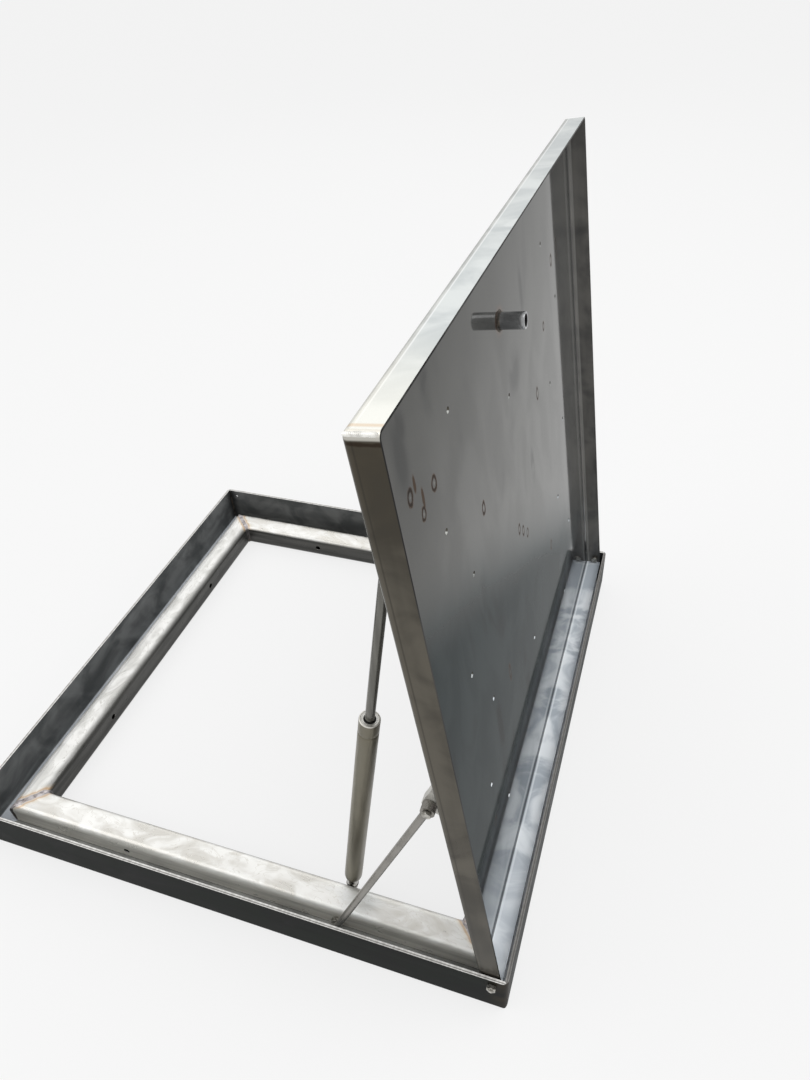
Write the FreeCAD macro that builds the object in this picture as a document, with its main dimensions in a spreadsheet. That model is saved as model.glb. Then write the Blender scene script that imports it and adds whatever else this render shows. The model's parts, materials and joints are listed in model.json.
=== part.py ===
import FreeCAD, Part
import Sketcher
import math
import os

# Recessed floor access cover, shown open: a welded square frame with an inner ring of square tube,
# and a folded tray lid on two pivot bolts, held up by a gas strut and a stay.
# Row frame: origin at the middle of the frame's footprint on the floor, +X to the hinge side,
# +Y to the back, +Z up. Millimetres and degrees.

doc = FreeCAD.newDocument("access_cover")

# Driving dimensions
DIMENSIONS = {
    "frame_size": 740,
    "frame_height": 68,
    "frame_corner_radius": 7,
    "angle_sheet": 4,
    "angle_fold_radius": 2,
    "channel_width": 28,
    "tube_size": 38,
    "tube_wall": 2,
    "tube_corner_radius": 8,
    "anchor_spacing": 304,
    "anchor_hole": 9,
    "open_angle": 83,
    "free_edge_gap": 15.5,
    "lid_side_gap": 1.5,
    "lid_sheet": 2,
    "lid_fold_radius": 3,
    "lid_corner_radius": 6,
    "tray_depth": 25.5,
    "seat_gap": 0.5,
    "hinge_gap": 4.5,
    "pivot_inset": 9,
    "rim_above_pivot": 9,
    "drain_hole": 6,
    "drain_pitch": 87.5,
    "drain_front_outer": 235,
    "drain_front_inner": 188,
    "drain_middle": 9,
    "drain_back_inner": 179,
    "drain_back_outer": 240,
    "key_inset": 90.5,
    "key_aside": 15,
    "key_outside": 17,
    "key_bore": 12,
    "key_length": 26,
    "brace_length": 600,
    "brace_angle": 45,
    "brace_depth": 25,
    "brace_thickness": 5,
    "running_gap": 0.05,
    "side_play": 0.3,
    "pivot_shank": 6,
    "pivot_flats": 10,
    "pivot_head": 4,
    "pivot_nut": 5,
    "washer_outside": 12,
    "thread_end": 1.5,
    "strut_standoff": 11,
    "strut_reach": 595,
    "strut_drop": 30.5,
    "strut_body": 22,
    "strut_body_wall": 1.5,
    "strut_body_length": 357.5,
    "strut_rod_size": 10,
    "strut_neck": 13,
    "strut_taper": 12,
    "strut_groove_depth": 0.8,
    "strut_groove_width": 3,
    "gland_length": 19,
    "gland_recess": 1,
    "piston_length": 16,
    "piston_gap": 1.5,
    "ball_size": 10,
    "ball_neck": 6,
    "ball_collar": 13,
    "ball_collar_thickness": 3,
    "socket_size": 14,
    "socket_above": 16,
    "socket_below": 9,
    "socket_web": 3,
    "stud_shank": 8,
    "stud_flats": 13,
    "stud_nut": 6.5,
    "lug_plate": 4,
    "lug_width": 26,
    "lug_below": 12,
    "lug_flange": 30,
    "lug_flange_length": 40,
    "stay_size": 8,
    "stay_reach": 305,
    "stay_drop": 28.5,
    "stay_inset": 15,
    "stay_foot_at": 147,
    "stay_foot_size": 5,
    "stay_foot_taper": 3,
    "stay_eye": 14,
    "stay_eye_width": 9,
    "stay_shank": 5,
    "stay_flats": 8,
    "stay_head": 3.5,
    "stay_nut": 4,
    "stay_plate": 2,
    "stay_plate_below": 8.4,
    "stay_plate_tip": 7,
    "stay_plate_root": 18,
    "stay_slope": 30,
    "stay_flange": 8,
}
sheet = doc.addObject("Spreadsheet::Sheet", "Dims")
for row, (alias, number) in enumerate(DIMENSIONS.items(), start=1):
    cell = "A" + str(row)
    sheet.set(cell, str(number))
    sheet.setAlias(cell, alias)
doc.recompute()


# Places worked out from the driving dimensions
HALF_FRAME = "(Dims.frame_size / 2)"
WALL_INSIDE = "(Dims.frame_size / 2 - Dims.angle_sheet)"
TUBE_OUTSIDE = "(" + WALL_INSIDE + " - Dims.channel_width)"
TUBE_INSIDE = "(" + TUBE_OUTSIDE + " - Dims.tube_size)"
TUBE_ROUND = ("(Dims.tube_corner_radius - sqrt(Dims.tube_corner_radius ^ 2"
              " - (Dims.tube_corner_radius - Dims.angle_sheet) ^ 2))")
FLANGE = "(Dims.angle_sheet + Dims.channel_width + " + TUBE_ROUND + ")"
PIVOT_X = "(" + WALL_INSIDE + " - Dims.hinge_gap - Dims.pivot_inset)"
PLATE_BELOW = "(Dims.tray_depth - Dims.rim_above_pivot)"
PIVOT_Z = "(Dims.tube_size + Dims.seat_gap + " + PLATE_BELOW + ")"
LID_HALF_WIDTH = "(" + WALL_INSIDE + " - Dims.lid_side_gap)"
LID_LENGTH = "(2 * " + WALL_INSIDE + " - Dims.hinge_gap - Dims.free_edge_gap)"
LID_MIDDLE = "(Dims.pivot_inset - " + LID_LENGTH + " / 2)"
FREE_EDGE = "(Dims.pivot_inset - " + LID_LENGTH + ")"

# The strut's lower ball sits in front of the tube's inner face, at the hole in the tube's middle.
STRUT_X = "(Dims.anchor_spacing / 2)"
STRUT_Y = "(Dims.strut_standoff - " + TUBE_INSIDE + ")"
STRUT_Z = "(Dims.tube_size / 2)"
STRUT_RUN = ("(" + PIVOT_X + " - " + STRUT_X + " - Dims.strut_reach * cos(Dims.open_angle)"
             " - Dims.strut_drop * sin(Dims.open_angle))")
STRUT_RISE = ("(" + PIVOT_Z + " - " + STRUT_Z + " + Dims.strut_reach * sin(Dims.open_angle)"
              " - Dims.strut_drop * cos(Dims.open_angle))")
STRUT_LENGTH = "sqrt(" + STRUT_RUN + " ^ 2 + " + STRUT_RISE + " ^ 2)"
STRUT_LEAN = "atan(" + STRUT_RUN + " / " + STRUT_RISE + ")"

# The stay runs from its eye under the lid down to the floor of the front channel.
STAY_Y = "(Dims.stay_inset - " + HALF_FRAME + ")"
STAY_X = ("(" + PIVOT_X + " - Dims.stay_reach * cos(Dims.open_angle)"
          " - Dims.stay_drop * sin(Dims.open_angle))")
STAY_Z = ("(" + PIVOT_Z + " + Dims.stay_reach * sin(Dims.open_angle)"
          " - Dims.stay_drop * cos(Dims.open_angle))")
STAY_RUN = "(" + STAY_X + " - Dims.stay_foot_at)"
STAY_RISE = "(" + STAY_Z + " - Dims.angle_sheet - Dims.stay_size / 2 - Dims.side_play)"
STAY_LENGTH = "sqrt(" + STAY_RUN + " ^ 2 + " + STAY_RISE + " ^ 2)"
STAY_LEAN = "atan(" + STAY_RUN + " / " + STAY_RISE + ")"


def value(text):
    """The number that an expression has now."""
    found = sheet.evalExpression(text)
    return float(getattr(found, "Value", found))


def new_body(label):
    body = doc.addObject("PartDesign::Body", label)
    body.Label = label
    return body


def origin_plane(body, role):
    return [feature for feature in body.Origin.OriginFeatures if feature.Role == role][0]


def new_sketch(body, role, offset):
    """A sketch on one of the body's own planes, moved along the plane's normal."""
    sketch = body.newObject("Sketcher::SketchObject", body.Label + "_sketch")
    sketch.AttachmentSupport = (origin_plane(body, role), [""])
    sketch.MapMode = "FlatFace"
    sketch.setExpression("AttachmentOffset.Base.z", offset)
    return sketch


def bind(sketch, constraint, text):
    row = sketch.addConstraint(constraint)
    sketch.setExpression("Constraints[" + str(row) + "]", text)


def pin(sketch, geometry, vertex, x_text, y_text):
    """Hold a point of the sketch at a place given by two expressions."""
    bind(sketch, Sketcher.Constraint("DistanceX", -1, 1, geometry, vertex, value(x_text)), x_text)
    bind(sketch, Sketcher.Constraint("DistanceY", -1, 1, geometry, vertex, value(y_text)), y_text)


def step(text, sign, radius):
    """A coordinate moved by a radius, towards the next or the last corner."""
    if sign == 0:
        return text
    return "(" + text + (" + " if sign > 0 else " - ") + radius + ")"


def direction(start, end):
    """Which way an edge runs along each sketch axis: -1, 0 or 1."""
    gaps = [value(end[axis]) - value(start[axis]) for axis in (0, 1)]
    return [0 if abs(gap) < 1e-9 else int(math.copysign(1, gap)) for gap in gaps]


def outline(sketch, corners):
    """Closed outline. A corner is (x, y), or (x, y, radius) between edges along the sketch axes."""
    count = len(corners)
    stops = []
    for index, corner in enumerate(corners):
        if len(corner) == 2:
            stops.append((corner, corner))
            continue
        radius = corner[2]
        ahead = direction(corner, corners[(index + 1) % count])
        behind = direction(corner, corners[index - 1])
        arrive = [step(corner[axis], behind[axis], radius) for axis in (0, 1)]
        leave = [step(corner[axis], ahead[axis], radius) for axis in (0, 1)]
        stops.append((arrive, leave))

    def point(spot):
        return FreeCAD.Vector(value(spot[0]), value(spot[1]), 0)

    pieces = []
    for index, corner in enumerate(corners):
        arrive, leave = stops[index]
        if len(corner) == 3:
            tip = point(corner)
            centre = point(arrive) + point(leave) - tip
            middle = centre + (tip - centre).normalize() * value(corner[2])
            arc = Part.Arc(point(arrive), middle, point(leave))
            number = sketch.addGeometry(arc, False)
            turn = (point(arrive) - centre).cross(point(leave) - centre).z
            first, last = (1, 2) if turn > 0 else (2, 1)
            pieces.append((number, first, last, arrive))
            bind(sketch, Sketcher.Constraint("Radius", number, value(corner[2])), corner[2])
        following = stops[(index + 1) % count][0]
        number = sketch.addGeometry(Part.LineSegment(point(leave), point(following)), False)
        pieces.append((number, 1, 2, leave))
    for index, (number, first, last, start) in enumerate(pieces):
        after = pieces[(index + 1) % len(pieces)]
        sketch.addConstraint(Sketcher.Constraint("Coincident", number, last, after[0], after[1]))
        pin(sketch, number, first, start[0], start[1])


def circle(sketch, x_text, y_text, radius):
    middle = FreeCAD.Vector(value(x_text), value(y_text), 0)
    number = sketch.addGeometry(Part.Circle(middle, FreeCAD.Vector(0, 0, 1), value(radius)), False)
    pin(sketch, number, 3, x_text, y_text)
    bind(sketch, Sketcher.Constraint("Radius", number, value(radius)), radius)


def rectangle(low_x, low_y, high_x, high_y, *radius):
    """The four corners of a rectangle, all with the same radius if one is given."""
    corners = ((low_x, low_y), (high_x, low_y), (high_x, high_y), (low_x, high_y))
    return [corner + radius for corner in corners]


def hexagon(flats):
    """Corners of a hexagon across the given flats, round the sketch's origin."""
    return [(flats + " / sqrt(3) * cos(" + str(angle) + ")", flats + " / sqrt(3) * sin(" + str(angle) + ")")
            for angle in range(0, 360, 60)]


def pad(body, sketch, length, side="One side"):
    feature = body.newObject("PartDesign::Pad", body.Label + "_pad")
    feature.Profile = sketch
    feature.SideType = side
    feature.setExpression("Length", length)
    doc.recompute()
    return feature


def cut_through(body, sketch):
    """Pocket through everything, both ways from the sketch."""
    before = body.Shape.Volume
    feature = body.newObject("PartDesign::Pocket", body.Label + "_pocket")
    feature.Profile = sketch
    feature.Type = "ThroughAll"
    feature.SideType = "Symmetric"
    doc.recompute()
    if not body.Shape.Volume < before:
        raise RuntimeError("nothing was cut from " + body.Label)


def round_edges(body, base, radius, wanted):
    """Fillet the edges of the last feature that the test picks."""
    names = ["Edge" + str(number) for number, edge in enumerate(base.Shape.Edges, start=1) if wanted(edge)]
    feature = body.newObject("PartDesign::Fillet", body.Label + "_fillet")
    feature.Base = (base, names)
    feature.setExpression("Radius", radius)
    doc.recompute()


def turned(label, corners):
    """A body turned about its Z axis from a half section of (radius, height) corners."""
    body = new_body(label)
    sketch = new_sketch(body, "XZ_Plane", "0")
    outline(sketch, corners)
    feature = body.newObject("PartDesign::Revolution", label + "_revolution")
    feature.Profile = sketch
    feature.ReferenceAxis = (sketch, ["V_Axis"])
    doc.recompute()
    return body


def primitive(kind, label, sizes):
    piece = doc.addObject("Part::" + kind, label)
    for name, text in sizes.items():
        piece.setExpression(name, text)
    return piece


def place(piece, x_text, y_text, z_text, axis="0; 0; 1", angle="0"):
    piece.setExpression("Placement", "placement(vector(" + x_text + "; " + y_text + "; " + z_text
                        + "); rotation(vector(" + axis + "); " + angle + "))")


def fuse(label, pieces):
    joined = doc.addObject("Part::MultiFuse", label)
    joined.Label = label
    joined.Shapes = pieces
    return joined


def cut(label, base, tool):
    piece = doc.addObject("Part::Cut", label)
    piece.Label = label
    piece.Base = base
    piece.Tool = tool
    return piece


def group(label, pieces):
    """Like fasteners as one node of separate solids."""
    joined = doc.addObject("Part::Compound", label)
    joined.Label = label
    joined.Links = pieces
    return joined


nodes = []


def keep(piece):
    nodes.append(piece)
    return piece


# Frame sides: a profile drawn across the front side, run from corner to corner and mitred at both ends
def mitred_side(label, profiles, reach, width):
    body = new_body(label)
    sketch = new_sketch(body, "YZ_Plane", "0")
    for corners in profiles:
        outline(sketch, corners)
    pad(body, sketch, "2 * " + reach, "Symmetric")
    mitres = new_sketch(body, "XY_Plane", "0")
    back = "(" + width + " - " + reach + ")"
    for sign in ("", "-"):
        tip = sign + reach
        heel = sign + "(" + reach + " - " + width + ")"
        outline(mitres, [(tip, "-" + reach), (tip, back), (heel, back)])
    cut_through(body, mitres)
    return body


SIDES = {"front": 0, "right": 90, "back": 180, "left": 270}

# Outer angles: wall and inward flange folded from one strip, the welded corners dressed round.
# The flange's upper edge meets the tube's rounded corner, where the two are welded.
envelope = new_body("frame_envelope")
footprint = new_sketch(envelope, "XY_Plane", "0")
outline(footprint, rectangle(
    "-" + HALF_FRAME, "-" + HALF_FRAME, HALF_FRAME, HALF_FRAME, "Dims.frame_corner_radius"))
pad(envelope, footprint, "Dims.frame_height")

FLANGE_EDGE = "(" + FLANGE + " - " + HALF_FRAME + ")"
FOLD_OUTSIDE = "(Dims.angle_fold_radius + Dims.angle_sheet)"
ANGLE_PROFILE = [
    ("-" + HALF_FRAME, "0", FOLD_OUTSIDE),
    (FLANGE_EDGE, "0"),
    (FLANGE_EDGE, "Dims.angle_sheet"),
    ("-" + WALL_INSIDE, "Dims.angle_sheet", "Dims.angle_fold_radius"),
    ("-" + WALL_INSIDE, "Dims.frame_height"),
    ("-" + HALF_FRAME, "Dims.frame_height"),
]
# Pivot holes along a side, from its middle: the two in use, and a spare one in each wall of the far
# corner for a lid of the other hand
PIVOT_HOLES = {
    "front": (PIVOT_X,),
    "back": ("-" + PIVOT_X, PIVOT_X),
    "left": ("-" + PIVOT_X,),
}
for side, turn in SIDES.items():
    angle = mitred_side("angle_" + side, [ANGLE_PROFILE], HALF_FRAME, FLANGE)
    if side in PIVOT_HOLES:
        holes = new_sketch(angle, "XZ_Plane", "0")
        for pivot_at in PIVOT_HOLES[side]:
            circle(holes, pivot_at, PIVOT_Z, "Dims.pivot_shank / 2 + Dims.running_gap")
        cut_through(angle, holes)
    trimmed = doc.addObject("Part::Common", "frame_angle_" + side)
    trimmed.Label = "frame_angle_" + side
    trimmed.Base = angle
    trimmed.Tool = envelope
    place(trimmed, "0", "0", "0", "0; 0; 1", str(turn))
    keep(trimmed)

# Inner ring of square tube, with fixing holes through the middle of each side
TUBE_PROFILES = [
    rectangle("-" + TUBE_OUTSIDE, "0", "-" + TUBE_INSIDE, "Dims.tube_size", "Dims.tube_corner_radius"),
    rectangle("(Dims.tube_wall - " + TUBE_OUTSIDE + ")", "Dims.tube_wall",
              "-(" + TUBE_INSIDE + " + Dims.tube_wall)", "(Dims.tube_size - Dims.tube_wall)",
              "(Dims.tube_corner_radius - Dims.tube_wall)"),
]
for side, turn in SIDES.items():
    tube = mitred_side("curb_tube_" + side, TUBE_PROFILES, TUBE_OUTSIDE, "Dims.tube_size")
    holes = new_sketch(tube, "XZ_Plane", "0")
    for sign in ("", "-"):
        circle(holes, sign + "Dims.anchor_spacing / 2", "Dims.tube_size / 2", "Dims.anchor_hole / 2")
    cut_through(tube, holes)
    place(tube, "0", "0", "0", "0; 0; 1", str(turn))
    keep(tube)


# Fasteners, made along +Z from the underside of the head
def hex_bolt(label, flats, head, shank, length):
    body = new_body(label)
    top = new_sketch(body, "XY_Plane", "-" + head)
    outline(top, hexagon(flats))
    pad(body, top, head)
    stem = new_sketch(body, "XY_Plane", "0")
    circle(stem, "0", "0", shank + " / 2")
    pad(body, stem, length)
    return body


def hex_nut(label, flats, height, shank):
    body = new_body(label)
    section = new_sketch(body, "XY_Plane", "0")
    outline(section, hexagon(flats))
    circle(section, "0", "0", shank + " / 2 + Dims.running_gap")
    pad(body, section, height)
    return body


def washer(label, outside, shank, height):
    body = new_body(label)
    section = new_sketch(body, "XY_Plane", "0")
    circle(section, "0", "0", outside + " / 2")
    circle(section, "0", "0", shank + " / 2 + Dims.running_gap")
    pad(body, section, height)
    return body


# Pivots: bolt head inside the tray, spacer washer on the wall, nut outside the frame
HEAD_SEAT = "(" + LID_HALF_WIDTH + " - Dims.lid_sheet - Dims.side_play)"
PIVOT_LENGTH = "(" + HALF_FRAME + " + Dims.pivot_nut + Dims.thread_end - " + HEAD_SEAT + ")"
WASHER_HEIGHT = "(Dims.lid_side_gap - Dims.side_play)"
WASHER_SEAT = "(" + WALL_INSIDE + " - " + WASHER_HEIGHT + ")"
bolts = []
washers = []
nuts = []
for side, sign, tip_over in (("front", "-", "90"), ("back", "", "-90")):
    bolt = hex_bolt("pivot_bolt_" + side, "Dims.pivot_flats", "Dims.pivot_head", "Dims.pivot_shank",
                    PIVOT_LENGTH)
    spacer = washer("pivot_washer_" + side, "Dims.washer_outside", "Dims.pivot_shank", WASHER_HEIGHT)
    nut = hex_nut("pivot_nut_" + side, "Dims.pivot_flats", "Dims.pivot_nut", "Dims.pivot_shank")
    place(bolt, PIVOT_X, sign + HEAD_SEAT, PIVOT_Z, "1; 0; 0", tip_over)
    place(spacer, PIVOT_X, sign + WASHER_SEAT, PIVOT_Z, "1; 0; 0", tip_over)
    place(nut, PIVOT_X, sign + HALF_FRAME, PIVOT_Z, "1; 0; 0", tip_over)
    bolts.append(bolt)
    washers.append(spacer)
    nuts.append(nut)
keep(group("pivot_bolts", bolts))
keep(group("pivot_washers", washers))
keep(group("pivot_nuts", nuts))


# Lid pieces are drawn with the lid shut and the pivot axis as their Y axis, then swung open
def on_lid(piece):
    place(piece, PIVOT_X, "0", PIVOT_Z, "0; 1; 0", "Dims.open_angle")
    return keep(piece)


# Tray: one sheet folded up on four sides, corners welded and rounded at the free edge,
# with drain holes and two pivot holes
tray = new_body("lid_tray")
PLATE_TOP = "(Dims.lid_sheet - " + PLATE_BELOW + ")"
FOLD = "(Dims.lid_fold_radius + Dims.lid_sheet)"
shell = new_sketch(tray, "XY_Plane", "-" + PLATE_BELOW)
outline(shell, [
    (FREE_EDGE, "-" + LID_HALF_WIDTH, "Dims.lid_corner_radius"),
    ("Dims.pivot_inset", "-" + LID_HALF_WIDTH),
    ("Dims.pivot_inset", LID_HALF_WIDTH),
    (FREE_EDGE, LID_HALF_WIDTH, "Dims.lid_corner_radius"),
])
blank = pad(tray, shell, "Dims.tray_depth")
underside = -value(PLATE_BELOW)
round_edges(tray, blank, FOLD, lambda edge: abs(edge.BoundBox.ZMax - underside) < 1e-6)
recess = new_sketch(tray, "XY_Plane", "Dims.rim_above_pivot")
RECESS_EDGE = "(" + FREE_EDGE + " + Dims.lid_sheet)"
RECESS_HALF = "(" + LID_HALF_WIDTH + " - Dims.lid_sheet)"
RECESS_CORNER = "(Dims.lid_corner_radius - Dims.lid_sheet)"
outline(recess, [
    (RECESS_EDGE, "-" + RECESS_HALF, RECESS_CORNER),
    ("(Dims.pivot_inset - Dims.lid_sheet)", "-" + RECESS_HALF),
    ("(Dims.pivot_inset - Dims.lid_sheet)", RECESS_HALF),
    (RECESS_EDGE, RECESS_HALF, RECESS_CORNER),
])
hollow = tray.newObject("PartDesign::Pocket", "lid_tray_recess")
hollow.Profile = recess
hollow.setExpression("Length", "Dims.tray_depth - Dims.lid_sheet")
doc.recompute()
plate_top = value(PLATE_TOP)
round_edges(tray, hollow, "Dims.lid_fold_radius", lambda edge: (
    abs(edge.BoundBox.ZMax - plate_top) < 1e-6 and abs(edge.BoundBox.ZMin - plate_top) < 1e-6))
drains = new_sketch(tray, "XY_Plane", "0")
# Rows drilled by eye, each with its pitches counted from the free edge
DRAIN_ROWS = {
    "-Dims.drain_front_outer": (2, 4, 6),
    "-Dims.drain_front_inner": (1, 3, 5, 7),
    "-Dims.drain_middle": (2, 6),
    "Dims.drain_back_inner": (1, 3, 5, 7),
    "Dims.drain_back_outer": (2, 4, 6),
}
for across, pitches in DRAIN_ROWS.items():
    for pitch in pitches:
        along = FREE_EDGE + " + " + str(pitch) + " * Dims.drain_pitch"
        circle(drains, along, across, "Dims.drain_hole / 2")
cut_through(tray, drains)
pivot_holes = new_sketch(tray, "XZ_Plane", "0")
circle(pivot_holes, "0", "0", "Dims.pivot_shank / 2 + Dims.running_gap")
cut_through(tray, pivot_holes)
on_lid(tray)

# Key socket: a short pipe that stands on the plate, near the free edge
key_socket = new_body("key_socket")
pipe = new_sketch(key_socket, "XY_Plane", PLATE_TOP)
KEY_AT = "(" + FREE_EDGE + " + Dims.key_inset)"
circle(pipe, KEY_AT, "-Dims.key_aside", "Dims.key_outside / 2")
circle(pipe, KEY_AT, "-Dims.key_aside", "Dims.key_bore / 2")
pad(key_socket, pipe, "Dims.key_length")
on_lid(key_socket)


# Braces: flat bars on edge under the plate, one whole diagonal and two halves that butt against it
def brace(label, way, start, end):
    """A bar along a diagonal of the plate, from start to end counted from the middle; way is its slope."""
    body = new_body(label)
    bar = new_sketch(body, "XY_Plane", "-(" + PLATE_BELOW + " + Dims.brace_depth)")
    corners = []
    for along, side in ((start, "-"), (end, "-"), (end, "+"), (start, "+")):
        aside = "(" + side + "Dims.brace_thickness / 2)"
        run = along + " * cos(Dims.brace_angle) + " + aside + " * sin(Dims.brace_angle)"
        rise = "(" + along + " * sin(Dims.brace_angle) - " + aside + " * cos(Dims.brace_angle))"
        corners.append((LID_MIDDLE + " + " + run, rise if way > 0 else "-" + rise))
    outline(bar, corners)
    pad(body, bar, "Dims.brace_depth")
    on_lid(body)


HALF_BRACE = "(Dims.brace_length / 2)"
brace("brace_long", 1, "-" + HALF_BRACE, HALF_BRACE)
brace("brace_short_front", -1, "(Dims.brace_thickness / 2)", HALF_BRACE)
brace("brace_short_back", -1, "-" + HALF_BRACE, "-(Dims.brace_thickness / 2)")

# Strut bracket: a lug beside the strut's upper end, with a flange welded to the plate
bracket = new_body("strut_bracket")
LUG_FACE = "(" + STRUT_Y + " + Dims.strut_standoff)"
LUG_BACK = "(" + LUG_FACE + " + Dims.lug_plate)"
lug = new_sketch(bracket, "XZ_Plane", "-" + LUG_BACK)
LUG_LEFT = "(-Dims.strut_reach - Dims.lug_width / 2)"
LUG_RIGHT = "(Dims.lug_width / 2 - Dims.strut_reach)"
LUG_FOOT = "(-Dims.strut_drop - Dims.lug_below)"
outline(lug, [
    (LUG_LEFT, LUG_FOOT, "Dims.lug_below"),
    (LUG_RIGHT, LUG_FOOT, "Dims.lug_below"),
    (LUG_RIGHT, "-" + PLATE_BELOW),
    (LUG_LEFT, "-" + PLATE_BELOW),
])
pad(bracket, lug, "Dims.lug_plate")
flange = new_sketch(bracket, "XY_Plane", "-(" + PLATE_BELOW + " + Dims.lug_plate)")
outline(flange, rectangle(
    "(-Dims.strut_reach - Dims.lug_flange_length / 2)", LUG_FACE,
    "(Dims.lug_flange_length / 2 - Dims.strut_reach)", "(" + LUG_FACE + " + Dims.lug_flange)"))
pad(bracket, flange, "Dims.lug_plate")
stud_hole = new_sketch(bracket, "XZ_Plane", "0")
circle(stud_hole, "-Dims.strut_reach", "-Dims.strut_drop", "Dims.stud_shank / 2 + Dims.running_gap")
cut_through(bracket, stud_hole)
on_lid(bracket)

# Upper stud: the threaded shank in the lug and its nut behind it
shank = new_body("upper_stud_shank")
thread = new_sketch(shank, "XZ_Plane", "-(" + LUG_BACK + " + Dims.stud_nut + Dims.thread_end)")
circle(thread, "-Dims.strut_reach", "-Dims.strut_drop", "Dims.stud_shank / 2")
pad(shank, thread, "Dims.lug_plate + Dims.stud_nut + Dims.thread_end")
on_lid(shank)
upper_nut = new_body("upper_stud_nut")
nut_section = new_sketch(upper_nut, "XZ_Plane", "-(" + LUG_BACK + " + Dims.stud_nut)")
outline(nut_section, [(x_text + " - Dims.strut_reach", y_text + " - Dims.strut_drop")
                      for x_text, y_text in hexagon("Dims.stud_flats")])
circle(nut_section, "-Dims.strut_reach", "-Dims.strut_drop", "Dims.stud_shank / 2 + Dims.running_gap")
pad(upper_nut, nut_section, "Dims.stud_nut")
on_lid(upper_nut)

# Stay bracket: a lug behind the stay's eye, with a flange bent back along its sloping edge
stay_bracket = new_body("stay_bracket")
STAY_FACE = "(" + STAY_Y + " + Dims.stay_eye_width / 2 + Dims.side_play)"
STAY_BACK = "(" + STAY_FACE + " + Dims.stay_plate)"
STAY_TIP = "(-Dims.stay_drop - Dims.stay_plate_below)"
LUG_NEAR = "(Dims.stay_plate_tip - Dims.stay_reach)"
LUG_ROOT = "(Dims.stay_plate_root - Dims.stay_reach)"
LUG_FAR = "(-Dims.stay_reach)"
SLOPE_RUN = "((-" + PLATE_BELOW + " - " + STAY_TIP + ") / tan(Dims.stay_slope))"
SLOPE_WIDTH = "(Dims.stay_plate / sin(Dims.stay_slope))"
stay_lug = new_sketch(stay_bracket, "XZ_Plane", "-" + STAY_BACK)
outline(stay_lug, [
    (LUG_NEAR, STAY_TIP),
    (LUG_ROOT, "-" + PLATE_BELOW),
    ("(" + LUG_FAR + " - " + SLOPE_RUN + ")", "-" + PLATE_BELOW),
    (LUG_FAR, STAY_TIP),
])
pad(stay_bracket, stay_lug, "Dims.stay_plate")
stay_flange = new_sketch(stay_bracket, "XZ_Plane", "-(" + STAY_BACK + " + Dims.stay_flange)")
outline(stay_flange, [
    (LUG_FAR, STAY_TIP),
    ("(" + LUG_FAR + " + " + SLOPE_WIDTH + ")", STAY_TIP),
    ("(" + LUG_FAR + " - " + SLOPE_RUN + " + " + SLOPE_WIDTH + ")", "-" + PLATE_BELOW),
    ("(" + LUG_FAR + " - " + SLOPE_RUN + ")", "-" + PLATE_BELOW),
])
pad(stay_bracket, stay_flange, "Dims.stay_flange + Dims.stay_plate")
stay_hole = new_sketch(stay_bracket, "XZ_Plane", "0")
circle(stay_hole, "-Dims.stay_reach", "-Dims.stay_drop", "Dims.stay_shank / 2 + Dims.running_gap")
cut_through(stay_bracket, stay_hole)
on_lid(stay_bracket)

# Stay bolt and nut: the head in front of the eye, the nut behind the lug
STAY_HEAD = "(" + STAY_Y + " - Dims.stay_eye_width / 2 - Dims.side_play)"
STAY_BOLT_LENGTH = "(" + STAY_BACK + " + Dims.stay_nut + Dims.thread_end - " + STAY_HEAD + ")"
stay_bolt = hex_bolt("stay_bolt", "Dims.stay_flats", "Dims.stay_head", "Dims.stay_shank",
                     STAY_BOLT_LENGTH)
place(stay_bolt, STAY_X, STAY_HEAD, STAY_Z, "1; 0; 0", "-90")
keep(stay_bolt)
stay_nut = hex_nut("stay_nut", "Dims.stay_flats", "Dims.stay_nut", "Dims.stay_shank")
place(stay_nut, STAY_X, STAY_BACK, STAY_Z, "1; 0; 0", "-90")
keep(stay_nut)

# Stay: a round bar with a short eye across its head and a tapered foot
bar = primitive("Cylinder", "stay_bar", {"Radius": "Dims.stay_size / 2", "Height": STAY_LENGTH})
place(bar, "0", "0", "-" + STAY_LENGTH)
foot = primitive("Cone", "stay_foot", {
    "Radius1": "Dims.stay_foot_size / 2", "Radius2": "Dims.stay_size / 2", "Height": "Dims.stay_foot_taper"})
place(foot, "0", "0", "-" + STAY_LENGTH + " - Dims.stay_foot_taper")
eye = primitive("Cylinder", "stay_eye_disc", {
    "Radius": "Dims.stay_eye / 2", "Height": "Dims.stay_eye_width"})
place(eye, "0", "-Dims.stay_eye_width / 2", "0", "1; 0; 0", "-90")
eye_hole = primitive("Cylinder", "stay_eye_hole", {
    "Radius": "Dims.stay_shank / 2 + Dims.running_gap", "Height": "2 * Dims.stay_eye_width"})
place(eye_hole, "0", "-Dims.stay_eye_width", "0", "1; 0; 0", "-90")
stay_rod = cut("stay_rod", fuse("stay_blank", [bar, foot, eye]), eye_hole)
place(stay_rod, STAY_X, STAY_Y, STAY_Z, "0; 1; 0", STAY_LEAN)
keep(stay_rod)


# Strut pieces are made along +Z from the lower ball's middle, then leant over to meet the lid
def on_strut(piece):
    place(piece, STRUT_X, STRUT_Y, STRUT_Z, "0; 1; 0", STRUT_LEAN)
    return keep(piece)


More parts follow.
